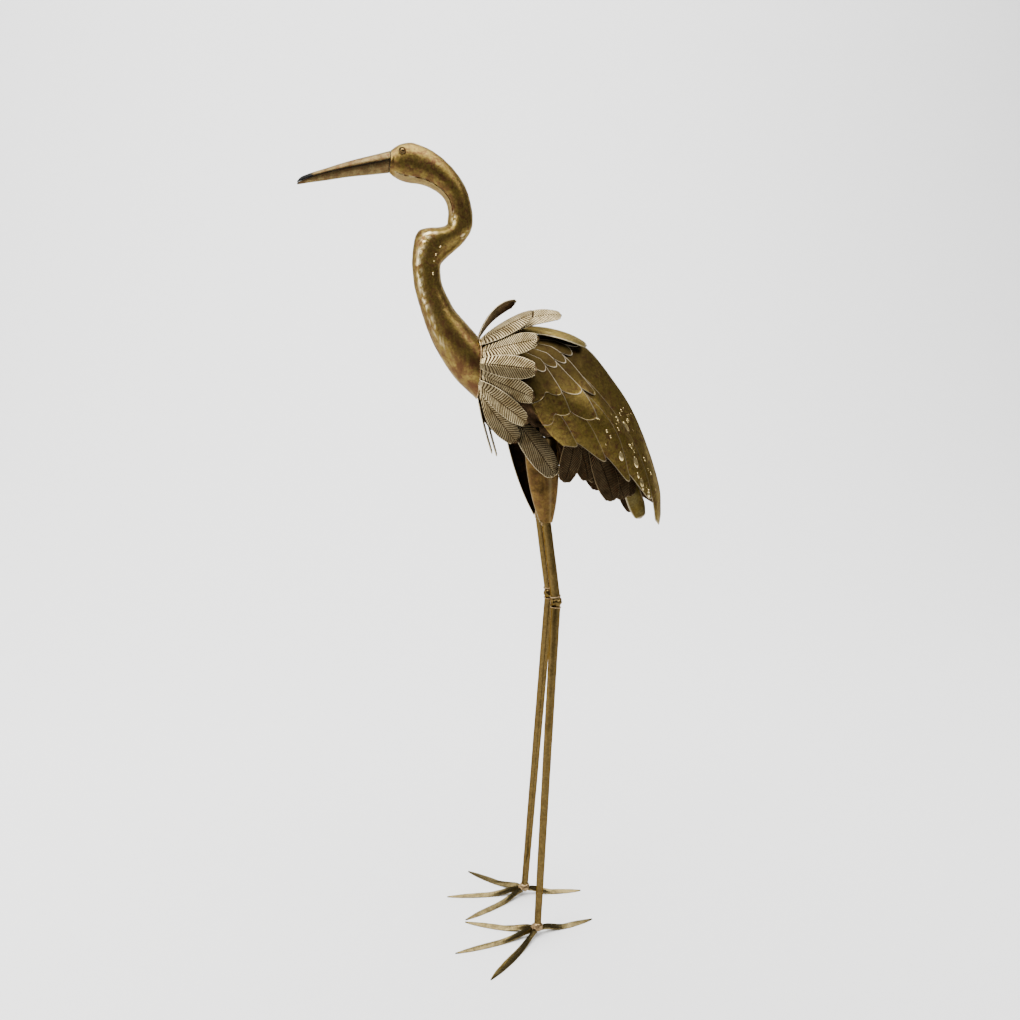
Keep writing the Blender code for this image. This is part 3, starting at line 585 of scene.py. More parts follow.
def make_patina_group():
    """Mottled tarnish: colour, roughness and unevenness of old brass sheet."""
    group = bpy.data.node_groups.new("patina", "ShaderNodeTree")
    face = group.interface
    for name, kind in (
            ("Vector", "NodeSocketVector"), ("Clean", "NodeSocketColor"), ("Tarnish", "NodeSocketColor"),
            ("Rust", "NodeSocketColor"), ("Grain", "NodeSocketFloat"), ("Tarnish Share", "NodeSocketFloat"),
            ("Rust Share", "NodeSocketFloat"), ("Smooth", "NodeSocketFloat"), ("Dull", "NodeSocketFloat")):
        face.new_socket(name=name, in_out="INPUT", socket_type=kind)
    for name, kind in (
            ("Colour", "NodeSocketColor"), ("Roughness", "NodeSocketFloat"), ("Height", "NodeSocketFloat")):
        face.new_socket(name=name, in_out="OUTPUT", socket_type=kind)
    start = group.nodes.new("NodeGroupInput")
    end = group.nodes.new("NodeGroupOutput")
    vector, grain = start.outputs["Vector"], start.outputs["Grain"]

    clouds = noise_field(group, vector, grain, 6.0, 0.62, 0.4)
    tarnish = spread(group, value_math(group, "ADD", clouds, start.outputs["Tarnish Share"]), 0.86, 1.10)
    colour = mix_colour(group, tarnish, start.outputs["Clean"], start.outputs["Tarnish"])

    patches = noise_field(group, vector, value_math(group, "MULTIPLY", grain, 2.3), 5.0, 0.68, 0.9)
    rust = spread(group, value_math(group, "ADD", patches, start.outputs["Rust Share"]), 0.92, 1.10)
    colour = mix_colour(group, rust, colour, start.outputs["Rust"])

    specks = noise_field(group, vector, value_math(group, "MULTIPLY", grain, 7.0), 3.0, 0.7)
    shade = spread(group, specks, 0.36, 0.66, 0.72, 1.22)
    scaled = group.nodes.new("ShaderNodeVectorMath")
    scaled.operation = "SCALE"
    group.links.new(colour, scaled.inputs[0])
    group.links.new(shade, scaled.inputs["Scale"])
    group.links.new(scaled.outputs[0], end.inputs["Colour"])

    dullness = value_math(group, "ADD", value_math(group, "MULTIPLY", tarnish, 0.55),
                          value_math(group, "MULTIPLY", rust, 0.45), clamp=True)
    span = value_math(group, "SUBTRACT", start.outputs["Dull"], start.outputs["Smooth"])
    duller = value_math(group, "MULTIPLY", dullness, span)
    roughness = value_math(group, "ADD", start.outputs["Smooth"], duller)
    group.links.new(roughness, end.inputs["Roughness"])

    dents = noise_field(group, vector, value_math(group, "MULTIPLY", grain, 1.6), 2.0, 0.5)
    pits = noise_field(group, vector, value_math(group, "MULTIPLY", grain, 9.0), 2.0, 0.6)
    height = value_math(group, "ADD", dents, value_math(group, "MULTIPLY", pits, 0.22))
    group.links.new(height, end.inputs["Height"])


def patina_material(name, clean, tarnish, rust, grain, shares, gloss, bump, marks=(), edge=EDGE_TINT):
    """Brass with patina. Marks add a colour where a vertex mark is high: mark, colour, roughness, strength.

    The edge colour keeps the brass from turning white where it is seen at a low angle.
    """
    material = bpy.data.materials.new(name)
    material.use_nodes = True
    tree = material.node_tree
    shader = tree.nodes["Principled BSDF"]
    shader.inputs["Metallic"].default_value = 1.0
    shader.inputs["Specular Tint"].default_value = opaque(edge)
    place = tree.nodes.new("ShaderNodeTexCoord").outputs["Object"]
    patina = tree.nodes.new("ShaderNodeGroup")
    patina.node_tree = bpy.data.node_groups["patina"]
    tree.links.new(place, patina.inputs["Vector"])
    for socket, value in (
            ("Clean", opaque(clean)), ("Tarnish", opaque(tarnish)), ("Rust", opaque(rust)),
            ("Grain", grain), ("Tarnish Share", shares[0]), ("Rust Share", shares[1]),
            ("Smooth", gloss[0]), ("Dull", gloss[1])):
        patina.inputs[socket].default_value = value
    colour, roughness = patina.outputs["Colour"], patina.outputs["Roughness"]
    for mark, mark_colour, mark_roughness, strength in marks:
        source = tree.nodes.new("ShaderNodeAttribute")
        source.attribute_name = mark
        share = value_math(tree, "MULTIPLY", source.outputs["Fac"], strength, clamp=True)
        colour = mix_colour(tree, share, colour, opaque(mark_colour))
        roughness = value_math(
            tree, "ADD", value_math(tree, "MULTIPLY", roughness, value_math(tree, "SUBTRACT", 1.0, share)),
            value_math(tree, "MULTIPLY", share, mark_roughness))
    tree.links.new(colour, shader.inputs["Base Color"])
    tree.links.new(roughness, shader.inputs["Roughness"])
    relief = tree.nodes.new("ShaderNodeBump")
    relief.inputs["Strength"].default_value = bump[0]
    relief.inputs["Distance"].default_value = bump[1]
    tree.links.new(patina.outputs["Height"], relief.inputs["Height"])
    tree.links.new(relief.outputs["Normal"], shader.inputs["Normal"])


def make_finishes():
    """All materials, from the finish settings."""
    finish = bpy.context.scene.crane_finish
    make_patina_group()
    brass, olive, rust = tuple(finish.brass), tuple(finish.olive), tuple(finish.rust)
    pale, groove, copper = tuple(finish.pale), tuple(finish.groove), tuple(finish.copper)
    patina_material(
        "neck brass", (0.165, 0.114, 0.031), (0.118, 0.082, 0.019), rust, 52.0, (0.46, 0.46), (0.30, 0.50),
        (0.60, 0.0011),
        # dark red mark: red patina, and painted shade by the throat weld
        (("seam", (0.30, 0.23, 0.12), 0.40, 0.75), ("red_patina_and_shade", (0.062, 0.026, 0.013), 0.40, 0.85),
         # bright mark: painted highlights, bright glossy colour where the neck catches the light
         ("painted_highlight", (0.86, 0.72, 0.40), 0.16, 1.0)))
    patina_material(
        "wing brass", brass, olive, rust, 48.0, (0.50, 0.44), (0.28, 0.48), (0.45, 0.0009),
        # root mark: painted shade over the wing's upper part
        (("root", (0.017, 0.011, 0.004), 0.52, 0.90), ("rim", (0.47, 0.41, 0.31), 0.38, 0.36)))
    # Bright glossy brass of the raised drops and lumps: painted glints.
    patina_material(
        "drop brass", (0.74, 0.58, 0.28), brass, rust, 60.0, (0.36, 0.30), (0.08, 0.20), (0.2, 0.0004))
    patina_material(
        "chased brass", (0.43, 0.345, 0.19), (0.20, 0.15, 0.07), rust, 62.0, (0.46, 0.34), (0.22, 0.40),
        (0.25, 0.0006), (("groove", groove, 0.62, 1.8), ("rim", pale, 0.30, 0.30)))
    # Skirt plates: a darker copy of the chased brass, dark from patina and from painted shade under the
    # wings.
    patina_material(
        "dark patina and painted shade chased brass", (0.110, 0.076, 0.038), (0.046, 0.030, 0.014), rust, 62.0, (0.48, 0.40),
        (0.34, 0.52), (0.25, 0.0006),
        (("groove", (0.010, 0.006, 0.003), 0.65, 1.8), ("rim", (0.20, 0.15, 0.08), 0.36, 0.40)))
    patina_material(
        "plain feather brass", (0.140, 0.108, 0.038), olive, rust, 55.0, (0.48, 0.40), (0.28, 0.46),
        (0.35, 0.0008), (("rim", pale, 0.32, 0.40),))
    patina_material(
        "thigh brass", (0.122, 0.072, 0.021), (0.052, 0.030, 0.010), rust, 50.0, (0.46, 0.42), (0.28, 0.46),
        # pale mark: also a painted highlight along the crease
        (0.40, 0.0008), (("rim", (0.44, 0.34, 0.17), 0.32, 0.50),))
    # Darker brass for the body and the backs of the plates: painted shade on surfaces turned from the light.
    patina_material(
        "painted shade brass", (0.050, 0.028, 0.013), (0.022, 0.013, 0.007), rust, 50.0, (0.50, 0.34), (0.40, 0.60),
        (0.35, 0.0010))
    patina_material(
        "tube brass", (0.088, 0.058, 0.019), (0.046, 0.029, 0.009), rust, 46.0, (0.34, 0.24), (0.14, 0.26),
        (0.12, 0.0004), edge=(0.42, 0.35, 0.23))
    patina_material(
        "toe brass", (0.122, 0.093, 0.040), (0.058, 0.043, 0.018), rust, 60.0, (0.42, 0.30), (0.24, 0.40),
        (0.25, 0.0006), edge=(0.60, 0.53, 0.40))
    patina_material(
        "weld brass", copper, (0.17, 0.11, 0.055), rust, 90.0, (0.44, 0.34), (0.28, 0.50), (0.6, 0.0010))
    patina_material(
        "beak brass", (0.14, 0.103, 0.043), (0.070, 0.047, 0.020), rust, 100.0, (0.50, 0.44), (0.28, 0.50),
        # dark mark: the dark tip and root joint, and painted shade along the split
        (0.60, 0.0008), (("tip", (0.010, 0.010, 0.010), 0.35, 1.0),))
    patina_material(
        "eye bead", (0.17, 0.11, 0.040), (0.040, 0.024, 0.010), (0.03, 0.02, 0.01), 90.0, (0.44, 0.40),
        (0.07, 0.16), (0.1, 0.0003))


# Neck, head, beak and eyes
def neck_place(share, angle):
    """Point of the neck's skin: share from the seam to the beak, angle 0 at the back or top."""
    x, z, dx, dz, width = curve_point([Vector(s) for s in NECK_SECTIONS], share)
    middle = SEAM + Vector((x, 0.0, z)) * NECK_RISE
    along = Vector((dx, 0.0, dz)) * NECK_RISE
    reach = math.copysign(abs(math.sin(angle)) ** NECK_FLATNESS, math.sin(angle))
    return middle + along * math.cos(angle) + ACROSS * reach * width * SEAM_HALF_WIDTH, middle


def neck_angles():
    """Places all the way round the neck."""
    back_again = [2.0 * math.pi - angle for angle in reversed(HALF_NECK_ANGLES)]
    return [*HALF_NECK_ANGLES, math.pi, *back_again]


def neck_relief(point, share, angle):
    """How far a point of the neck is raised, and its seam mark, its red patina mark, which also holds painted
    shade along the throat weld, and its mark of painted highlights.
    """
    relief = bpy.context.scene.crane_relief
    from_front = abs(angle - math.pi)
    from_back = min(angle, 2.0 * math.pi - angle)
    seam = 1.0 - smooth_step(0.028, 0.075, min(from_front, from_back))
    head = smooth_step(0.60, 0.65, share) * (1.0 - smooth_step(0.955, 0.975, share))
    throat = head * (1.0 - smooth_step(0.72, 0.78, from_front))
    weld = head * bell(from_front, THROAT_WELD, 0.030) * (0.5 + abs(rough(point, 0.0035, 2.0)))
    gap = head * bell(from_front, THROAT_GAP, 0.030)
    above = head * smooth_step(0.76, 0.82, from_front) * (1.0 - smooth_step(0.84, 1.25, from_front))

    lift = relief.dent_depth * (rough(point, 0.018) + 0.5 * rough(point, 0.007, 3.0)) - 0.0003
    lift *= 1.0 - 0.7 * seam
    lift += relief.seam_height * seam * (0.75 + 0.5 * rough(point, 0.0045, 5.0)) - relief.seam_height
    lift += 0.0008 * weld - 0.0005 * throat - 0.0005 * gap
    if share > 0.985:
        lift = -0.0003

    # Red patina mottles the neck towards the collar and its front; the same dark red is also painted shade in
    # a band over the throat weld and in the throat gap.
    patina_shade_share = smooth_step(-0.25, 0.35, rough(point, 0.011, 9.0) + 0.5 * rough(point, 0.005, 4.0)
                       + 0.30 * math.cos(from_front) - 3.2 * share)
    patina_shade_share = max(patina_shade_share, above * smooth_step(-0.35, 0.25, rough(point, 0.009, 5.0)), gap)
    # Painted highlights: a ragged band along the front of the lower neck, one at the back of the bend, one in
    # the crook, and glints on the throat weld.
    front_band = (bell(from_front, 0.92, 0.20) * smooth_step(0.05, 0.16, share)
                  * (1.0 - smooth_step(0.42, 0.47, share)))
    bend_band = bell(from_back, 0.80, 0.12) * bell(share, 0.515, 0.035)
    crook = bell(from_front, 0.90, 0.14) * bell(share, 0.595, 0.030)
    ragged = smooth_step(-0.05, 0.35, rough(point, 0.0055, 7.0) + 0.5 * rough(point, 0.0024, 3.0))
    painted_highlight = ragged * min(1.0, 0.8 * front_band + bend_band + crook + weld)
    return lift, (max(seam, 0.30 * throat), patina_shade_share, painted_highlight)


def make_neck():
    """The neck and head in one skin, with its small raised lumps painted bright as glints."""
    angles = neck_angles()
    rows = 150

    def place(row_share, column_share):
        angle = pick(angles, column_share)
        point, middle = neck_place(row_share, angle)
        outward = point - middle
        size = outward.length
        outward.normalize()
        lift, marks = neck_relief(point, row_share, angle)
        return point + outward * min(lift, 0.1 * size), marks

    bm = closed_skin(rows, len(angles) - 1, place, ("seam", "red_patina_and_shade", "painted_highlight"))
    add_piece("neck_skin", bm, "neck brass", ("neck_and_head",), 50.0)

    bm = bmesh.new()
    for share, angle, size in NECK_GLINT_LUMPS:
        point, middle = neck_place(share, angle)
        normal = (point - middle).normalized()
        run = (neck_place(share + 0.01, angle)[0] - point).normalized()
        add_drop(bm, point - normal * 0.0002, run, normal, size, 1.6)
    add_piece("neck_glint_lumps", bm, "drop brass", ("neck_and_head",))


def eye_place(side):
    """Where an eye sits on the head."""
    section = [0.5 * (a + b) for a, b in zip(NECK_SECTIONS[-3], NECK_SECTIONS[-2])]
    middle = SEAM + Vector((section[0], 0.0, section[1])) * NECK_RISE
    up = Vector((section[2], 0.0, section[3])) * NECK_RISE
    depth = SEAM_HALF_WIDTH * section[4] * math.sqrt(1.0 - EYE_LEVEL * EYE_LEVEL)
    return middle + up * EYE_LEVEL + ACROSS * side * (depth - 0.35 * EYE_R)


def make_eyes():
    """Round eye beads, each in a thin rim."""
    for side_name, side in SIDES:
        centre = eye_place(side)
        look = Vector((-0.12, side, 0.22)).normalized()
        turn = look.to_track_quat("Z", "Y").to_matrix().to_4x4()
        bm = bmesh.new()
        bmesh.ops.create_uvsphere(bm, u_segments=32, v_segments=20, radius=EYE_R * 0.80)
        for vert in bm.verts:
            if vert.co.z > 0.3 * EYE_R:
                vert.co.z *= 1.06
        bmesh.ops.transform(bm, matrix=Matrix.Translation(centre + look * 0.0006) @ turn, verts=bm.verts)
        add_piece("eye_ball_" + side_name, bm, "eye bead", ("eye_" + side_name,))

        def rim_place(row_share, column_share):
            ring = 2.0 * math.pi * column_share
            tube = 2.0 * math.pi * row_share
            r = EYE_R * 0.86 + EYE_RIM_R * math.cos(tube)
            local = Vector((r * math.cos(ring), r * math.sin(ring), EYE_RIM_R * math.sin(tube)))
            return centre + look * 0.0020 + turn.to_3x3() @ local, ()

        ring_bm = closed_skin(10, 36, rim_place)
        add_piece("eye_rim_" + side_name, ring_bm, "beak brass")


def beak_ring(share):
    """Interpolated beak section."""
    distances = [section[0] for section in BEAK_SECTIONS]
    i = max(k for k in range(len(distances) - 1) if distances[k] <= share + 1e-9)
    t = (share - distances[i]) / (distances[i + 1] - distances[i])
    t_all = (i + t) / (len(distances) - 1)
    return curve_point([Vector(s) for s in BEAK_SECTIONS], t_all)


def make_beak():
    """The two halves of the beak, dark at the tip, with painted shade along the split."""
    last = NECK_SECTIONS[-1]
    root = SEAM + Vector((last[0], 0.0, last[1])) * NECK_RISE
    forward = Vector((-last[3], 0.0, last[2])).normalized()
    under = tuple((1.0 - 2.0 * k / 6.0, -0.02) for k in range(7))
    loop = BEAK_OUTLINE + under[1:-1] + (BEAK_OUTLINE[0],)
    for half in ("upper", "lower"):
        upper = half == "upper"

        def place(row_share, column_share):
            distance, top, split, bottom, width = beak_ring(row_share)
            a, b = pick(loop, column_share)
            if upper:
                b = b ** 1.3 if b > 0.0 else b
            middle = root + forward * 0.0004 + Vector((-distance, 0.0, 0.0)) * BEAK_LENGTH
            edge = split * BEAK_LENGTH + (BEAK_HALF_GAP if upper else -BEAK_HALF_GAP)
            crest = (top if upper else bottom) * BEAK_LENGTH
            w = width * BEAK_LENGTH * (0.86 if upper else 1.0)
            rise = crest - edge
            point = middle + Vector((0.0, a * w, edge + b * rise))
            point.x += (point.z - root.z) * last[2] / last[3] * (1.0 - distance)
            point += Vector((0.0, math.copysign(1.0, a) * 0.0002, 0.0)) * rough(point, 0.005, 2.0)
            start = 0.80 if upper else 0.965
            tip = smooth_step(start, start + 0.03, row_share + 0.02 * rough(point, 0.004, 4.0))
            # The flat faces along the split are painted dark as shade between the halves.
            painted_split_shade = 1.0 if b <= 0.0 else 0.0
            joint = 1.0 - smooth_step(0.004, 0.016, row_share)
            return point, (max(tip, 0.85 * painted_split_shade, 0.8 * joint),)

        bm = closed_skin(72, len(loop) - 1, place, ("tip",))
        add_piece("beak_half_" + half, bm, "beak brass", (half + "_beak",), 34.0)


# Body: its front and back, half height, half width and slope, as shares of its length
BODY_FRONT = 0.012
BODY_BACK = 0.80
BODY_HALF_HEIGHT = 0.205
BODY_HALF_WIDTH = 0.135
BODY_FALL = 0.52


def body_point(along, angle):
    """Point of the egg: along runs from -1 at the neck to 1 at the tail."""
    t = 0.5 * (along + 1.0)
    swell = math.sqrt(max(0.0, 1.0 - along * along)) * (1.08 - 0.16 * t)
    x = BODY_FRONT + (BODY_BACK - BODY_FRONT) * t
    z = -0.005 - BODY_FALL * (x - BODY_FRONT) + BODY_HALF_HEIGHT * swell * math.cos(angle)
    return SEAM + Vector((x, BODY_HALF_WIDTH * swell * math.sin(angle), z)) * BODY_LENGTH


def make_body():
    """The egg-shaped body, with a weld keel above and below."""
    relief = bpy.context.scene.crane_relief
    bm = bmesh.new()
    bmesh.ops.create_uvsphere(bm, u_segments=56, v_segments=40, radius=1.0)
    for vert in bm.verts:
        angle = math.atan2(vert.co.y, vert.co.x)
        point = body_point(max(-1.0, min(1.0, vert.co.z)), angle)
        keel = bell(abs(angle), math.pi, 0.05) + bell(angle, 0.0, 0.05)
        inward = (body_point(vert.co.z, angle + math.pi) - point).normalized()
        vert.co = point + inward * (0.0008 - relief.dent_depth * rough(point, 0.016) - 0.0008 * keel)
    bmesh.ops.recalc_face_normals(bm, faces=bm.faces)
    # The body's darker brass is painted shade.
    add_piece("body_shell", bm, "painted shade brass", ("body",))


# Wings
WING_CURVES = {side: [[from_seam(p, side) for p in line] for line in WING_LINES] for _, side in SIDES}


def wing_surface(u, v, side):
    """Smooth wing surface: u along the feathers, v across them from the front edge to the back."""
    lines = [curve_point(curve, u * WING_LINE_END) for curve in WING_CURVES[side]]
    return curve_point(lines, v / (len(WING_LINES) - 1))


def wing_normal(u, v, side):
    """Outward direction of the wing surface."""
    d = 0.01
    along = wing_surface(u + d, v, side) - wing_surface(u - d, v, side)
    low, high = max(0.0, v - d), min(5.0, v + d)
    over = wing_surface(u, high, side) - wing_surface(u, low, side)
    normal = along.cross(over).normalized()
    return normal if normal.y * side > 0.0 else -normal


STRIP_PLACES = (0.0, 0.02, 0.05, 0.10, 0.16, 0.22, 0.29, 0.36, 0.43, 0.50, 0.57, 0.64, 0.71, 0.78, 0.84, 0.89,
                0.93, 0.955, 0.972, 0.986)


def wing_columns():
    """Column places: strip and share across it."""
    columns = [(strip, w) for strip in range(len(TIP_REACH)) for w in STRIP_PLACES]
    return columns + [(len(TIP_REACH) - 1, 1.0)]


def long_feather_lift(share, w):
    """How far a long feather stands up: it is crowned, and its rear edge laps over the next."""
    return WING_STEP * w * min(1.0, share * 4.0) + FEATHER_CROWN * (4.0 * w * (1.0 - w)) ** 0.7 - 0.0004


def tip_bulge(strip, w):
    """Round outline of a long feather's tip, fullest towards its rear edge."""
    bulge = math.sqrt(max(0.0, math.sin(math.pi * w ** 2.1)))
    if strip == len(TIP_REACH) - 1:
        bulge = smooth_step(0.0, 0.24, w) * (1.0 - 0.45 * smooth_step(0.84, 1.0, w))
    return bulge


def make_long_feathers(side_name, side):
    """The pressed shell with its five long feathers, each lapping over the next."""
    columns = wing_columns()
    rows = [k * 0.03 for k in range(5)]
    rows += [0.15 + 0.83 * k / 104.0 for k in range(105)] + [0.986, 0.991, 0.996, 1.0]
    reaches = TIP_REACH if side < 0.0 else TIP_REACH[:-1] + (FAR_TIP_SHARE * TIP_REACH[-1],)
    bare_from = COVERT_ROWS[-1][0]

    def place(row_share, column_share):
        share = pick(rows, row_share)
        strip, w = pick(columns, column_share)
        u = share
        if share > bare_from:
            u += reaches[strip] * tip_bulge(strip, w) * (share - bare_from) / (1.0 - bare_from)
        point = wing_surface(u, strip + w, side)
        rim = 1.0 if w > 0.96 or share > 0.995 else 0.0
        lift = long_feather_lift(share, w) + wing_unevenness(point, rim)
        # The root mark carries painted shade towards the wing's root.
        return point + wing_normal(u, strip + w, side) * lift, (rim, painted_root_shade(u))

    add_plate(
        "wing_shell_" + side_name, len(rows) - 1, len(columns) - 1, place, ("rim", "root"),
        Vector((0.0, side, 0.0)), "wing brass", ("wing_" + side_name,))


def wing_unevenness(point, rim):
    """Small dents of the wing's sheet, and its slightly raised rims."""
    return 0.00030 * rough(point, 0.016, 6.0) + 0.00020 * rim


def painted_root_shade(u):
    """How much painted shade darkens the wing towards its root, over its upper part."""
    return 1.0 - smooth_step(0.24, 0.76, u)


def covert_across(u, v):
    """Where the coverts' edges run: they lean back towards the ridge."""
    strips = len(WING_LINES) - 1
    return strips * (v / strips) ** (max(0.15, u) ** COVERT_LEAN)


def covert_lobe(strip, w):
    """Round outline of the covert tips; the front strip holds two of them side by side."""
    if strip == 0:
        w = w / COVERT_SPLIT if w < COVERT_SPLIT else (w - COVERT_SPLIT) / (1.0 - COVERT_SPLIT)
    return math.sqrt(max(0.0, math.sin(math.pi * min(1.0, w) ** 1.15))), w


def covert_rows():
    """Row places: share along the wing, slope of the feather, rim, and the covert row it belongs to."""
    rows = []
    start = 0.0
    for order, (end, _) in enumerate(COVERT_ROWS):
        steps = round((end - start) / COVERT_ROW_PITCH)
        for k in range(steps):
            t = k / steps
            rows.append((start + (end - start - 0.008) * t, t, 0.0, order))
        rows += [(end - 0.0055, 1.0, 0.0, order), (end - 0.0035, 1.0, 1.0, order), (end, 1.0, 1.0, order)]
        start = end + 0.003
    return rows


def make_coverts(side_name, side):
    """Three rows of short feathers, lying over the roots of the long ones."""
    columns, rows = wing_columns(), covert_rows()

    def place(row_share, column_share):
        share, slope, row_rim, order = pick(rows, row_share)
        strip, w = pick(columns, column_share)
        lobe, w_own = covert_lobe(strip, w)
        bend = smooth_step(0.0, 0.12, share)
        u = share + COVERT_SCALLOP * bend * lobe + 0.008 * strip * bend
        v = covert_across(u, strip + w)
        point = wing_surface(u, v, side)
        rim = max(row_rim, 1.0 if w_own > 0.95 else 0.0)
        lift = COVERT_LIFT + 0.7 * COVERT_STEP * slope + 0.4 * WING_STEP * w_own * min(1.0, share * 4.0)
        lift += COVERT_CROWN * (4.0 * w_own * max(0.0, 1.0 - w_own)) ** 0.7 - 0.0003
        lift += wing_unevenness(point, rim)
        drop = 1.0 if strip >= COVERT_ROWS[order][1] else 0.0
        # The root mark carries painted shade towards the wing's root.
        return point + wing_normal(u, v, side) * lift, (rim, painted_root_shade(u), drop)

    add_plate(
        "wing_coverts_" + side_name, len(rows) - 1, len(columns) - 1, place, ("rim", "root", "drop"),
        Vector((0.0, side, 0.0)), "wing brass", ("wing_" + side_name,))


def add_drop(bm, centre, run, normal, size, long):
    """A flat round-edged lump on a surface, longer along the run."""
    over = normal.cross(run).normalized()
    turn = Matrix((over.cross(normal), over, normal)).transposed().to_4x4()
    scale = Matrix.Diagonal((size * long, size, min(0.0009, size * 0.6), 1.0))
    place = Matrix.Translation(centre) @ turn @ scale
    bmesh.ops.create_icosphere(bm, subdivisions=2, radius=1.0, matrix=place)


# Larger raised drops on the wing, bright as painted glints: place along it, place across it, size
WING_GLINT_DROPS = (
    (0.877, 3.50, 0.0034), (0.915, 2.80, 0.0031), (0.713, 3.00, 0.0020), (0.660, 4.15, 0.0029),
    (0.630, 2.50, 0.0017), (0.667, 2.50, 0.0020), (0.983, 3.55, 0.0026), (1.020, 3.80, 0.0022),
    (0.810, 2.60, 0.0012), (0.953, 3.45, 0.0016), (0.787, 3.55, 0.0013), (1.010, 3.55, 0.0018),
)


# Small raised drops, bright as painted glints: strip, where they begin and end along it, and how many
SMALL_GLINT_DROPS = ((2, 0.62, 0.96, 4), (3, 0.60, 1.00, 13), (4, 0.56, 0.98, 16))
DROP_SEED = 11


def make_glint_drops(side_name, side):
    """Raised drops on the rear half of the wing, in bright brass that paints glints on them."""
    draw = random.Random(DROP_SEED)
    bm = bmesh.new()
    drops = list(WING_GLINT_DROPS)
    for strip, first, last, count in SMALL_GLINT_DROPS:
        for _ in range(count):
            u = first + (last - first) * draw.random()
            drops.append((u, strip + 0.2 + 0.65 * draw.random(), 0.0006 + 0.0010 * u * draw.random() ** 2))
    for u, v, size in drops:
        centre = wing_surface(u, v, side)
        normal = wing_normal(u, v, side)
        run = (wing_surface(u + 0.02, v, side) - centre).normalized()
        stretch = 1.6 + 1.1 * draw.random()
        add_drop(bm, centre + normal * long_feather_lift(1.0, v - math.floor(v)), run, normal, size, stretch)
    add_piece(
        "wing_glint_drops_" + side_name, bm, "drop brass", ("wing_" + side_name,))


def make_wings():
    """Both wings: long feathers, short feathers and raised drops painted bright as glints."""
    for side_name, side in SIDES:
        make_long_feathers(side_name, side)
        make_coverts(side_name, side)
        make_glint_drops(side_name, side)


# Chased feathers: places across a plate, and rows of points from one chased line to the next
FEATHER_COLUMNS = (-1.0, -0.94, -0.80, -0.62, -0.44, -0.27, -0.12, -0.05, 0.0,
                   0.05, 0.12, 0.27, 0.44, 0.62, 0.80, 0.94, 1.0)
ROWS_PER_BARB = 4
GROOVE_DEPTHS = (1.0, 0.32, 0.0)    # on a chased line, one row beside it, and further off
PLAIN_PLATE_ROWS = 40


def outline_width(outline, share):
    """Half width of a plate at a share of its length; the tip closes in a round."""
    last = len(PLATE_STATIONS) - 1
    i = max(k for k in range(last) if PLATE_STATIONS[k] <= share + 1e-9)
    t = (share - PLATE_STATIONS[i]) / (PLATE_STATIONS[i + 1] - PLATE_STATIONS[i])
    if i == last - 1:
        return max(0.10, outline[i] * math.sqrt(max(0.0, 1.0 - t * t)))
    return curve_point([Vector((0.0, value)) for value in outline], (i + t) / last).y


def barb_rows(length, pitch):
    """Rows of points for a chased plate of this length."""
    return max(6, round(length / pitch)) * ROWS_PER_BARB


def chased_marks(row, across, row_share):
    """How deep a point of a chased plate lies in a groove, and how far it is on the rim."""
    groove = GROOVE_DEPTHS[min(2, row % ROWS_PER_BARB, -row % ROWS_PER_BARB)]
    if abs(across) > 0.97 or row_share < 0.05:
        groove = 0.0
    if abs(across) < 0.03 and row_share < 0.95:
        groove = 1.0
    rim = 1.0 if abs(across) > 0.97 else 0.0
    return groove, rim


def chevron(row_share, across, half_over_length, slope):
    """Share along the plate of a point on a chased line."""
    return min(1.0, row_share + slope * abs(across) * half_over_length * smooth_step(0.0, 0.25, row_share))


def collar_surface(s, angle):
    """The flaring collar: s from 0 at the neck seam to 1 at the tips, angle from the top."""
    from_top = math.acos(max(-1.0, min(1.0, math.cos(angle))))
    low = max(0.0, from_top - COLLAR_TUCK_FROM) / (math.pi - COLLAR_TUCK_FROM)
    tuck = COLLAR_TUCK * (0.5 - 0.5 * math.cos(math.pi * low)) ** 1.5
    reach = COLLAR_DEPTH * (1.0 - tuck)
    back = Vector((math.cos(COLLAR_FALL), 0.0, -math.sin(COLLAR_FALL))) * reach * s
    swell = max(0.0, s) ** 0.9
    tall = SEAM_HALF_HEIGHT + COLLAR_FLARE_HEIGHT * swell
    wide = SEAM_HALF_WIDTH + COLLAR_FLARE_WIDTH * swell
    return SEAM + back + SEAM_UP * tall * math.cos(angle) + ACROSS * wide * math.sin(angle)


def collar_frame(s, angle):
    """Sideways step per angle and outward direction of the collar."""
    d = 0.01
    turn = (collar_surface(s, angle + d) - collar_surface(s, angle - d)) / (2.0 * d)
    along = collar_surface(s + d, angle) - collar_surface(s, angle)
    normal = along.cross(turn).normalized()
    outward = collar_surface(s, angle) - collar_surface(s, angle + math.pi)
    return turn.length, (normal if normal.dot(outward) > 0.0 else -normal)


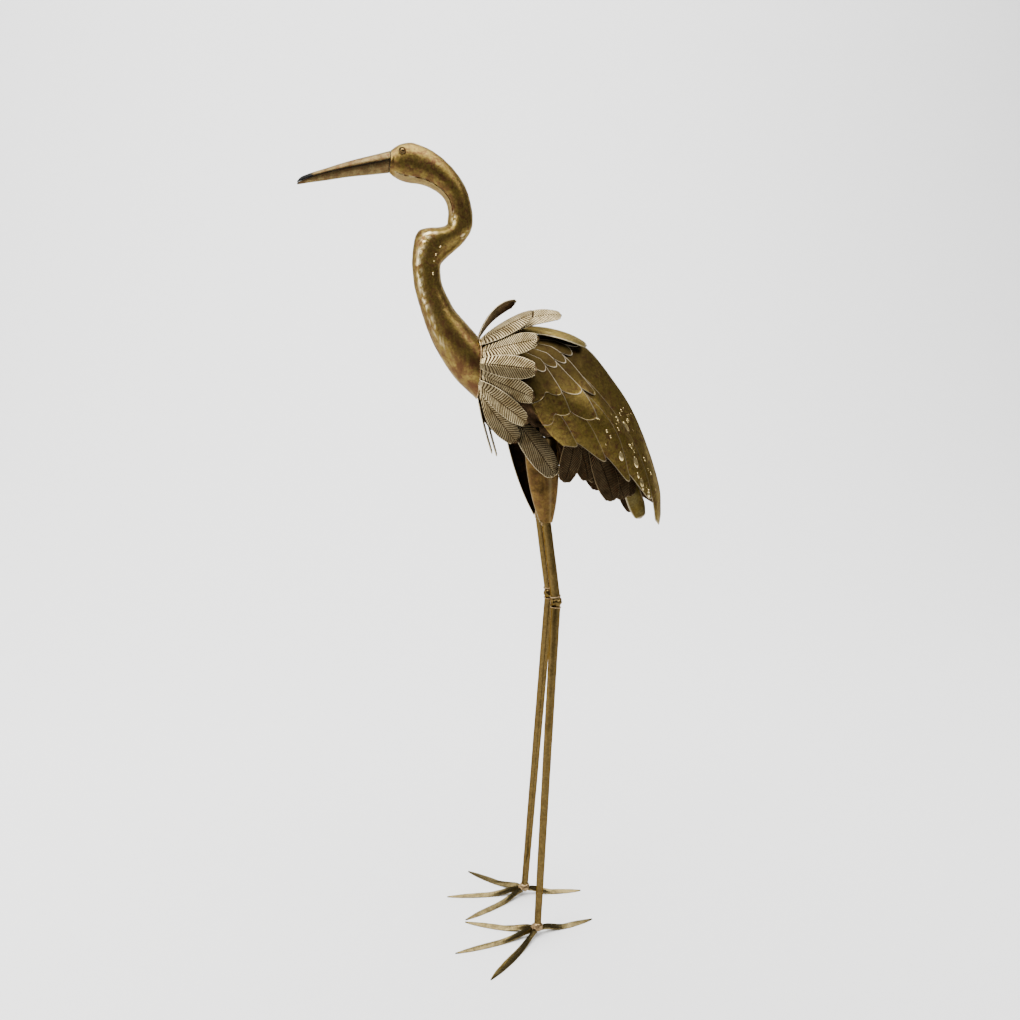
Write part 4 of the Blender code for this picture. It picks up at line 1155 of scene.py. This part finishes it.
def make_collar_feather(name, side, angle_deg, length, layer, turn_deg, bent, nodes):
    """A chased plate lying on the collar, bent up round its root where it is bent."""
    relief = bpy.context.scene.crane_relief
    centre = math.radians(angle_deg) * side
    root = collar_surface(COLLAR_ROOT, centre)
    hinge = (collar_surface(0.035, centre + 0.02) - collar_surface(0.035, centre - 0.02)).normalized()
    slope = math.tan(math.radians(turn_deg)) * side
    real_length = (collar_surface(length, centre) - root).length
    rows = barb_rows(real_length, relief.barb_pitch)

    def place(row_share, column_share):
        across = pick(FEATHER_COLUMNS, column_share)
        half_over_length = 0.5 * FEATHER_WIDTH / real_length
        t = chevron(row_share, across, half_over_length, relief.barb_slope)
        s = COLLAR_ROOT + (length - COLLAR_ROOT) * t
        per_angle, _ = collar_frame(s, centre)
        half = 0.5 * FEATHER_WIDTH * outline_width(LEAF, t)
        angle = centre + across * half / per_angle
        _, normal = collar_frame(s, angle)
        swept = max(COLLAR_ROOT, s - 0.035 * across * across * min(1.0, t * 3.0))
        groove, rim = chased_marks(round(row_share * rows), across, row_share)
        lift = FEATHER_RIB * (1.0 - abs(across)) - layer * LAYER + across * half * slope * min(1.0, 2.0 * t)
        lift -= relief.groove_depth * groove
        flat = collar_surface(swept, angle) + normal * lift
        bend = Matrix.Rotation(-bent * (1.0 - COLLAR_BENT_CURL * t * t), 3, hinge)
        return root + bend @ (flat - root), (groove, rim)

    outward = ACROSS * math.sin(centre) + SEAM_UP * math.cos(centre)
    add_plate(name, rows, len(FEATHER_COLUMNS) - 1, place, ("groove", "rim"), outward,
              "chased brass", nodes)


def make_collar():
    """The collar's plates, and the edge-on pair before the throat."""
    for side_name, side in SIDES:
        for index, (angle, length, layer, turn) in enumerate(COLLAR_PLATES):
            label = "{}_{}".format(side_name, index + 1)
            bent = COLLAR_BENT.get((side_name, index + 1), 0.0)
            make_collar_feather("collar_plume_" + label, side, angle, length, layer, turn, bent,
                                ("collar_feather_" + label,))
        label = "{}_{}".format(side_name, len(COLLAR_PLATES) + 1)
        make_free_plate("collar_plume_" + label, side, THROAT_PLATES[side_name],
                        bpy.context.scene.crane_relief.barb_pitch, "chased brass",
                        ("collar_feather_" + label,))


def make_free_plate(name, side, plate, pitch, finish, nodes):
    """A plate along a bent midline with a folded midrib; a pitch of zero leaves it plain."""
    relief = bpy.context.scene.crane_relief
    root, middle, tip, facing, width, outline = plate
    a, b, c = (from_seam(p, side) for p in (root, middle, tip))
    control = 2.0 * b - 0.5 * (a + c)
    face = Vector((facing[0], facing[1] * side, facing[2])).normalized()
    fold_height = FEATHER_RIB if outline is LEAF else 0.5 * FEATHER_RIB
    real_length = (b - a).length + (c - b).length
    rows = barb_rows(real_length, pitch) if pitch else PLAIN_PLATE_ROWS
    real_half = 0.5 * FEATHER_WIDTH * width

    def place(row_share, column_share):
        across = pick(FEATHER_COLUMNS, column_share)
        t = chevron(row_share, across, real_half / real_length, relief.barb_slope if pitch else 0.0)
        point = a * (1.0 - t) ** 2 + control * 2.0 * t * (1.0 - t) + c * t * t
        run = (control - a) * (1.0 - t) + (c - control) * t
        sideways = run.cross(face).normalized()
        normal = sideways.cross(run).normalized()
        if normal.dot(face) < 0.0:
            normal.negate()
        half = real_half * outline_width(outline, t)
        if pitch:
            groove, rim = chased_marks(round(row_share * rows), across, row_share)
        else:
            groove, rim = 0.0, (1.0 if abs(across) > 0.93 or row_share > 0.97 else 0.0)
        lift = fold_height * (1.0 - abs(across)) - relief.groove_depth * groove
        return point + sideways * across * half + normal * lift, (groove, rim)

    add_plate(name, rows, len(FEATHER_COLUMNS) - 1, place, ("groove", "rim"), face, finish, nodes)


def make_free_feathers():
    """The shoulder, back and tail feathers of both sides."""
    relief = bpy.context.scene.crane_relief
    for side_name, side in SIDES:
        for pattern, plate in FREE_PLATES.items():
            node = pattern.format(side_name)
            plain = not pattern.startswith("shoulder")
            finish, pitch = ("plain feather brass", 0.0) if plain else ("chased brass", relief.barb_pitch)
            make_free_plate(
                node.replace("feather", "plume"), side, plate, pitch, finish, (node,))


def make_skirt():
    """Three layers of plates under each wing, dark from patina and from painted shade."""
    relief = bpy.context.scene.crane_relief
    for side_name, side in SIDES:
        for index, (root, tip, width) in enumerate(SKIRT_PLATES):
            inner = (index % 3) * LAYER / BODY_LENGTH
            bend = (0.5 * (root[0] + tip[0]) + 0.012, 0.5 * (root[1] + tip[1]))
            points = [(x, SKIRT_HALF_WIDTH - SKIRT_CLOSING * (x - SKIRT_PLATES[0][0][0]) - inner, z)
                      for x, z in (root, bend, tip)]
            plate = (*points, (SKIRT_CLOSING, 1.0, 0.0), width, LEAF)
            label = "{}_{}".format(side_name, index + 1)
            make_free_plate("skirt_plume_" + label, side, plate, relief.skirt_pitch,
                            "dark patina and painted shade chased brass", ("skirt_feather_" + label,))


# Legs and feet
def leg_points(side):
    """Hip, knee and ankle of one leg."""
    hip = GROUND + Vector((HIP_SET, side * 0.5 * HIP_SPREAD, HIP_Z))
    knee = GROUND + Vector((KNEE_SET, side * 0.5 * KNEE_SPREAD, KNEE_Z))
    ankle = GROUND + Vector((ANKLE_SET, side * 0.5 * ANKLE_SPREAD, ANKLE_Z))
    return hip, knee, ankle


def make_thighs():
    """Half cones of sheet, creased down the outer side and pinched on the leg tubes."""
    for side_name, side in SIDES:
        hip, knee, _ = leg_points(side)
        down = (knee - hip).normalized()
        top = hip - down * (THIGH_RISE + THIGH_TUCK) + Vector((THIGH_SET[side_name], side * THIGH_OUT, 0.0))
        bottom = hip + down * THIGH_DROP
        bottom_r = UPPER_TUBE_R + SHEET + THIGH_PINCH_GAP

        def place(row_share, column_share):
            middle = top.lerp(bottom, row_share)
            closing = row_share ** 2.6
            half_width = THIGH_HALF_WIDTH + (bottom_r - THIGH_HALF_WIDTH) * closing
            half_depth = THIGH_HALF_DEPTH + (bottom_r - THIGH_HALF_DEPTH) * closing
            across = 2.0 * column_share - 1.0
            angle = THIGH_WRAP * across
            crease = bell(across, THIGH_CREASE, 0.07) * (1.0 - 0.6 * row_share)
            point = middle + Vector((half_width * math.sin(angle), side * half_depth * math.cos(angle), 0.0))
            point += Vector((0.0, side, 0.0)) * (0.0007 * crease + 0.0004 * rough(point, 0.015, 2.0) - 0.0005)
            # The pale rim colour also runs along the crease, as a painted highlight on the fold.
            rim = max(smooth_step(0.95, 0.99, abs(across)), 0.55 * crease)
            return point, (rim,)

        add_plate("thigh_shell_" + side_name, 44, 44, place, ("rim",), Vector((0.0, side, 0.0)),
                  "thigh brass", ("thigh_" + side_name,))


def tube_bm(start, end, start_r, end_r, cuts=24):
    """A round, slightly tapered and slightly uneven tube with closed ends."""
    run = end - start
    bm = bmesh.new()
    bmesh.ops.create_cone(
        bm, cap_ends=True, segments=28, radius1=start_r, radius2=end_r, depth=run.length)
    upright = [edge for edge in bm.edges if abs(edge.verts[0].co.z - edge.verts[1].co.z) > 0.5 * run.length]
    bmesh.ops.subdivide_edges(bm, edges=upright, cuts=cuts, use_grid_fill=True)
    turn = run.to_track_quat("Z", "Y").to_matrix().to_4x4()
    bmesh.ops.transform(bm, matrix=Matrix.Translation(start.lerp(end, 0.5)) @ turn, verts=bm.verts)
    for vert in bm.verts:
        t = (vert.co - start).dot(run) / run.length_squared
        axis = start + run * t
        out = vert.co - axis
        if out.length > 1e-6:
            vert.co = axis + out * (1.0 + 0.035 * rough(vert.co, 0.012, 8.0))
    return bm


def weld_ball_bm(centre, radius, flat, seed):
    """A lumpy ball of weld."""
    bm = bmesh.new()
    bmesh.ops.create_icosphere(bm, subdivisions=4, radius=radius)
    for vert in bm.verts:
        lump = rough(vert.co, radius * 0.55, seed)
        vert.co *= 0.94 + 0.14 * lump
        vert.co.z *= flat
    bmesh.ops.translate(bm, vec=centre, verts=bm.verts)
    return bm


def make_legs():
    """Leg tubes and knee balls, with the welds at the knees, ankles and thighs."""
    for side_name, side in SIDES:
        hip, knee, ankle = leg_points(side)
        up = (hip - knee).normalized()
        down = (ankle - knee).normalized()
        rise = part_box("upper_leg_" + side_name)[1].z - knee.z - 0.001
        top = knee + up * (rise / up.z)
        upper = tube_bm(knee + up * KNEE_BALL_R * TUBE_END_SHARE, top, KNEE_TUBE_R, UPPER_TUBE_R)
        add_piece(
            "leg_tube_upper_" + side_name, upper, "tube brass", ("upper_leg_" + side_name,))
        lower = tube_bm(knee + down * KNEE_BALL_R * TUBE_END_SHARE, ankle, KNEE_TUBE_R, ANKLE_TUBE_R, cuts=60)
        add_piece(
            "leg_tube_lower_" + side_name, lower, "tube brass", ("lower_leg_" + side_name,))
        add_piece("knee_ball_" + side_name, weld_ball_bm(knee, KNEE_BALL_R, 0.94, 3.0 + side),
                  "tube brass", ("knee_" + side_name,))
        for k, (level, size) in enumerate(((up, 0.0011), (down, 0.0010))):
            first = level.orthogonal().normalized()
            second = level.cross(first).normalized()
            ring_r = KNEE_TUBE_R * 1.02
            centre = knee + level * KNEE_BALL_R * KNEE_BEAD_SHARE
            ring = ring_points(centre, first * ring_r, second * ring_r, 12)
            add_bead("knee_bead_{}_{}".format(side_name, k + 1), ring, size, 12, 2.0 + k)
        add_piece("ankle_weld_" + side_name, weld_ball_bm(ankle, ANKLE_WELD_R * 0.98, 0.88, 6.0 + side),
                  "weld brass")
        pinch = hip - up * (THIGH_DROP - 0.001)
        for k, reach in enumerate((-0.4, 0.35)):
            front = pinch + Vector((-UPPER_TUBE_R * 0.9, side * UPPER_TUBE_R * reach, 0.0))
            path = [front + Vector((0.0, 0.0, 0.006)), front, front + Vector((0.0006, 0.0, -0.006))]
            add_bead("thigh_bead_{}_{}".format(side_name, k + 1), path, 0.0014, 4, 4.0 + k)


def toe_loop():
    """Cross-section of a folded toe: share of the half width and of the ridge height."""
    corners = ((-1.0, 0.0), (-1.0, 0.22), (-0.45, 0.72), (0.0, 1.0), (0.45, 0.72), (1.0, 0.22), (1.0, 0.0))
    loop = []
    for (a, b), (c, d) in zip(corners, corners[1:]):
        for k in range(3):
            t = k / 3.0
            loop.append((a + (c - a) * t, b + (d - b) * t))
    loop += [(1.0 - 2.0 * k / 6.0, 0.0) for k in range(6)]
    loop.append(corners[0])
    return loop


def make_toes():
    """Folded toes, with a bead of weld at the root of those in front."""
    loop = toe_loop()
    stations = [Vector(section) for section in TOE_SECTIONS]
    for side_name, side in SIDES:
        _, _, ankle = leg_points(side)
        for order, (toe, (turn_deg, length)) in enumerate(TOES[side_name].items()):
            turn = math.radians(turn_deg)
            forward = Vector((-math.cos(turn), side * math.sin(turn), 0.0))
            across = Vector((-forward.y, forward.x, 0.0))
            start = ANKLE_WELD_R * 0.6
            seed = 10.0 + 3.0 * order + side

            def place(row_share, column_share):
                station = curve_point(stations, row_share)
                share = station.x
                a, b = pick(loop, column_share)
                distance = start + (length - start) * share
                lifted = max(0.0, 1.0 - share / TOE_FLAT_FROM)
                floor = TOE_ARCH * lifted * lifted * (3.0 - 2.0 * lifted)
                middle = Vector((ankle.x, ankle.y, floor)) + forward * distance
                half = TOE_HALF_WIDTH * station.y * (1.0 + 0.07 * rough(middle + across * a, 0.014, seed))
                ridge = TOE_RIDGE * station.z * (0.62 + 0.38 * lifted)
                ridge *= 1.0 + 0.06 * rough(middle, 0.012, seed)
                return middle + across * a * half + Vector((0.0, 0.0, b * ridge)), ()

            add_piece("toe_fold_{}_{}".format(side_name, toe), closed_skin(48, len(loop) - 1, place),
                      "toe brass", ("toe_{}_{}".format(side_name, toe),), 24.0)
            if toe != "back":
                near = Vector((ankle.x, ankle.y, ANKLE_Z)) + forward * ANKLE_WELD_R * 0.9
                path = [near + across * k * 0.004 + Vector((0.0, 0.0, -abs(k) * 0.0015)) for k in (-1, 0, 1)]
                add_bead("toe_bead_{}_{}".format(side_name, toe), path, 0.0017, 3, seed)


def make_collar_weld():
    """Weld along the joint between the neck and the collar plates."""
    ring = ring_points(SEAM + Vector((0.0004, 0.0, 0.0)), SEAM_UP * SEAM_HALF_HEIGHT * SEAM_BEAD_SHARE,
                       ACROSS * SEAM_HALF_WIDTH * SEAM_BEAD_SHARE, 48)
    add_bead("collar_bead", ring, 0.0010, 46, 7.0)


# Stage. Lights: name, place, target, size, power as a share of the key light's, and colour
STUDIO_LIGHTS = (
    ("backdrop", (0.0, 0.7, 3.6), (0.0, 2.9, 0.9), 4.6, 12.6, (1.0, 1.0, 1.0)),
    ("top", (0.1, -0.1, 2.9), (0.05, 0.0, 0.6), 2.6, 1.2, (1.0, 0.99, 0.97)),
    ("key", (-1.6, -1.3, 1.9), (0.0, 0.0, 0.7), 0.9, 1.0, (1.0, 0.98, 0.94)),
    ("edge", (-2.2, 0.1, 1.1), (0.0, 0.0, 0.7), 1.6, 1.0, (1.0, 0.98, 0.95)),
)
PAPER_HALF_WIDTH = 5.0
PAPER_BEND_R = 2.0
CAMERA_AIM_X = 0.041


def make_backdrop(studio):
    """White paper that runs from the floor up behind the statue."""
    arc = [math.radians(7.5 * k) for k in range(13)]
    floor = [(-3.0, 0.0), (-1.0, 0.0), (0.6, 0.0)]
    bend = [(0.9 + PAPER_BEND_R * math.sin(a), PAPER_BEND_R * (1.0 - math.cos(a))) for a in arc]
    sweep = floor + bend + [(2.9, 3.2), (2.9, 4.5)]

    def place(row_share, column_share):
        y, z = curve_point([Vector(p) for p in sweep], row_share)
        return Vector(((2.0 * column_share - 1.0) * PAPER_HALF_WIDTH, y, max(0.0, z))), ()

    bm = mapped_grid(60, 8, place)
    bm.normal_update()
    if sum(face.normal.z for face in bm.faces) < 0.0:
        bmesh.ops.reverse_faces(bm, faces=bm.faces)
    mesh = bpy.data.meshes.new("studio_sweep")
    bm.to_mesh(mesh)
    bm.free()
    mesh.shade_smooth()
    paper = bpy.data.materials.new("studio paper")
    paper.use_nodes = True
    tree = paper.node_tree
    shader = tree.nodes["Principled BSDF"]
    place_node = tree.nodes.new("ShaderNodeTexCoord").outputs["Object"]
    fibre = noise_field(tree, place_node, 40.0, 3.0)
    shade = tuple(0.97 * value for value in studio.floor)
    paper_colour = mix_colour(tree, fibre, opaque(shade), opaque(tuple(studio.floor)))
    tree.links.new(paper_colour, shader.inputs["Base Color"])
    shader.inputs["Roughness"].default_value = 0.9
    mesh.materials.append(paper)
    sweep_obj = bpy.data.objects.new("studio_sweep", mesh)
    bpy.context.scene.collection.objects.link(sweep_obj)


def make_lights(studio):
    """Even white surroundings and four square lights."""
    world = bpy.data.worlds.new("studio")
    bpy.context.scene.world = world
    world.use_nodes = True
    back = world.node_tree.nodes["Background"]
    back.inputs["Color"].default_value = (1.0, 1.0, 1.0, 1.0)
    back.inputs["Strength"].default_value = studio.surround

    for name, spot, target, size, share, colour in STUDIO_LIGHTS:
        lamp = bpy.data.lights.new(name, "AREA")
        lamp.shape = "SQUARE"
        lamp.size = size
        lamp.energy = share * studio.key_power
        lamp.color = colour
        obj = bpy.data.objects.new(name, lamp)
        obj.location = spot
        obj.rotation_euler = (Vector(target) - Vector(spot)).to_track_quat("-Z", "Y").to_euler()
        bpy.context.scene.collection.objects.link(obj)


def make_camera(studio):
    """The camera, turned round to the beak's side and tilted down."""
    camera = bpy.data.cameras.new("camera")
    camera.sensor_width = 36.0
    camera.lens = studio.lens
    obj = bpy.data.objects.new("camera", camera)
    turn, tilt = studio.camera_side, studio.camera_tilt
    level_back = Vector((-math.sin(turn), -math.cos(turn), 0.0))
    aim = Vector((CAMERA_AIM_X, 0.0, studio.camera_height)) + GROUND
    obj.location = aim + level_back * studio.camera_distance
    look = -level_back * math.cos(tilt) - Vector((0.0, 0.0, math.sin(tilt)))
    obj.rotation_euler = look.to_track_quat("-Z", "Y").to_euler()
    bpy.context.scene.collection.objects.link(obj)
    bpy.context.scene.camera = obj


# Operators
class CRANE_OT_finishes(Operator):
    """Make the brass finishes"""
    bl_idname = "crane.finishes"
    bl_label = "Finishes"

    def execute(self, context):
        make_finishes()
        return {"FINISHED"}


class CRANE_OT_neck(Operator):
    """Build the welded neck and head"""
    bl_idname = "crane.neck"
    bl_label = "Neck and head"

    def execute(self, context):
        make_neck()
        return {"FINISHED"}


class CRANE_OT_beak(Operator):
    """Build the two halves of the beak"""
    bl_idname = "crane.beak"
    bl_label = "Beak"

    def execute(self, context):
        make_beak()
        return {"FINISHED"}


class CRANE_OT_eyes(Operator):
    """Build the eye beads and their rims"""
    bl_idname = "crane.eyes"
    bl_label = "Eyes"

    def execute(self, context):
        make_eyes()
        return {"FINISHED"}


class CRANE_OT_body(Operator):
    """Build the hollow body under the feathers"""
    bl_idname = "crane.body"
    bl_label = "Body"

    def execute(self, context):
        make_body()
        return {"FINISHED"}


class CRANE_OT_wings(Operator):
    """Build the two pressed wings"""
    bl_idname = "crane.wings"
    bl_label = "Wings"

    def execute(self, context):
        make_wings()
        return {"FINISHED"}


class CRANE_OT_collar(Operator):
    """Build the chased collar feathers and their weld"""
    bl_idname = "crane.collar"
    bl_label = "Collar"

    def execute(self, context):
        make_collar()
        make_collar_weld()
        return {"FINISHED"}


class CRANE_OT_free_feathers(Operator):
    """Build the shoulder, back and tail feathers"""
    bl_idname = "crane.free_feathers"
    bl_label = "Shoulder, back and tail feathers"

    def execute(self, context):
        make_free_feathers()
        return {"FINISHED"}


class CRANE_OT_skirt(Operator):
    """Build the dark feathers under the wings"""
    bl_idname = "crane.skirt"
    bl_label = "Skirt feathers"

    def execute(self, context):
        make_skirt()
        return {"FINISHED"}


class CRANE_OT_thighs(Operator):
    """Build the half-cone thighs"""
    bl_idname = "crane.thighs"
    bl_label = "Thighs"

    def execute(self, context):
        make_thighs()
        return {"FINISHED"}


class CRANE_OT_legs(Operator):
    """Build the leg tubes, knees and their welds"""
    bl_idname = "crane.legs"
    bl_label = "Legs"

    def execute(self, context):
        make_legs()
        return {"FINISHED"}


class CRANE_OT_toes(Operator):
    """Build the folded toes and their welds"""
    bl_idname = "crane.toes"
    bl_label = "Toes"

    def execute(self, context):
        make_toes()
        return {"FINISHED"}


class CRANE_OT_stage(Operator):
    """Set up the floor, light and camera"""
    bl_idname = "crane.stage"
    bl_label = "Stage"

    def execute(self, context):
        studio = context.scene.crane_studio
        make_backdrop(studio)
        make_lights(studio)
        make_camera(studio)
        return {"FINISHED"}


OPERATORS = (
    CRANE_OT_finishes, CRANE_OT_neck, CRANE_OT_beak, CRANE_OT_eyes, CRANE_OT_body, CRANE_OT_wings,
    CRANE_OT_collar, CRANE_OT_free_feathers, CRANE_OT_skirt, CRANE_OT_thighs, CRANE_OT_legs, CRANE_OT_toes,
    CRANE_OT_stage,
)


class CRANE_PT_statue(Panel):
    """Settings and steps of the statue"""
    bl_label = "Crane statue"
    bl_idname = "CRANE_PT_statue"
    bl_space_type = "VIEW_3D"
    bl_region_type = "UI"
    bl_category = "Crane"

    def draw(self, context):
        layout = self.layout
        for group in (context.scene.crane_relief, context.scene.crane_finish, context.scene.crane_studio):
            box = layout.box()
            for name in group.__annotations__:
                box.prop(group, name)
        for operator in OPERATORS:
            layout.operator(operator.bl_idname)


CLASSES = (CraneRelief, CraneFinish, CraneStudio) + OPERATORS + (CRANE_PT_statue,)


def register():
    """Add the settings, steps and panel to Blender."""
    for cls in CLASSES:
        bpy.utils.register_class(cls)
    bpy.types.Scene.crane_relief = PointerProperty(type=CraneRelief)
    bpy.types.Scene.crane_finish = PointerProperty(type=CraneFinish)
    bpy.types.Scene.crane_studio = PointerProperty(type=CraneStudio)


def unregister():
    """Take them out again."""
    del bpy.types.Scene.crane_studio
    del bpy.types.Scene.crane_finish
    del bpy.types.Scene.crane_relief
    for cls in reversed(CLASSES):
        bpy.utils.unregister_class(cls)


def main():
    """Build everything."""
    register()
    bpy.ops.crane.finishes()
    bpy.ops.crane.neck()
    bpy.ops.crane.beak()
    bpy.ops.crane.eyes()
    bpy.ops.crane.body()
    bpy.ops.crane.wings()
    bpy.ops.crane.collar()
    bpy.ops.crane.free_feathers()
    bpy.ops.crane.skirt()
    bpy.ops.crane.thighs()
    bpy.ops.crane.legs()
    bpy.ops.crane.toes()
    bpy.ops.crane.stage()


if __name__ == "__main__":
    main()
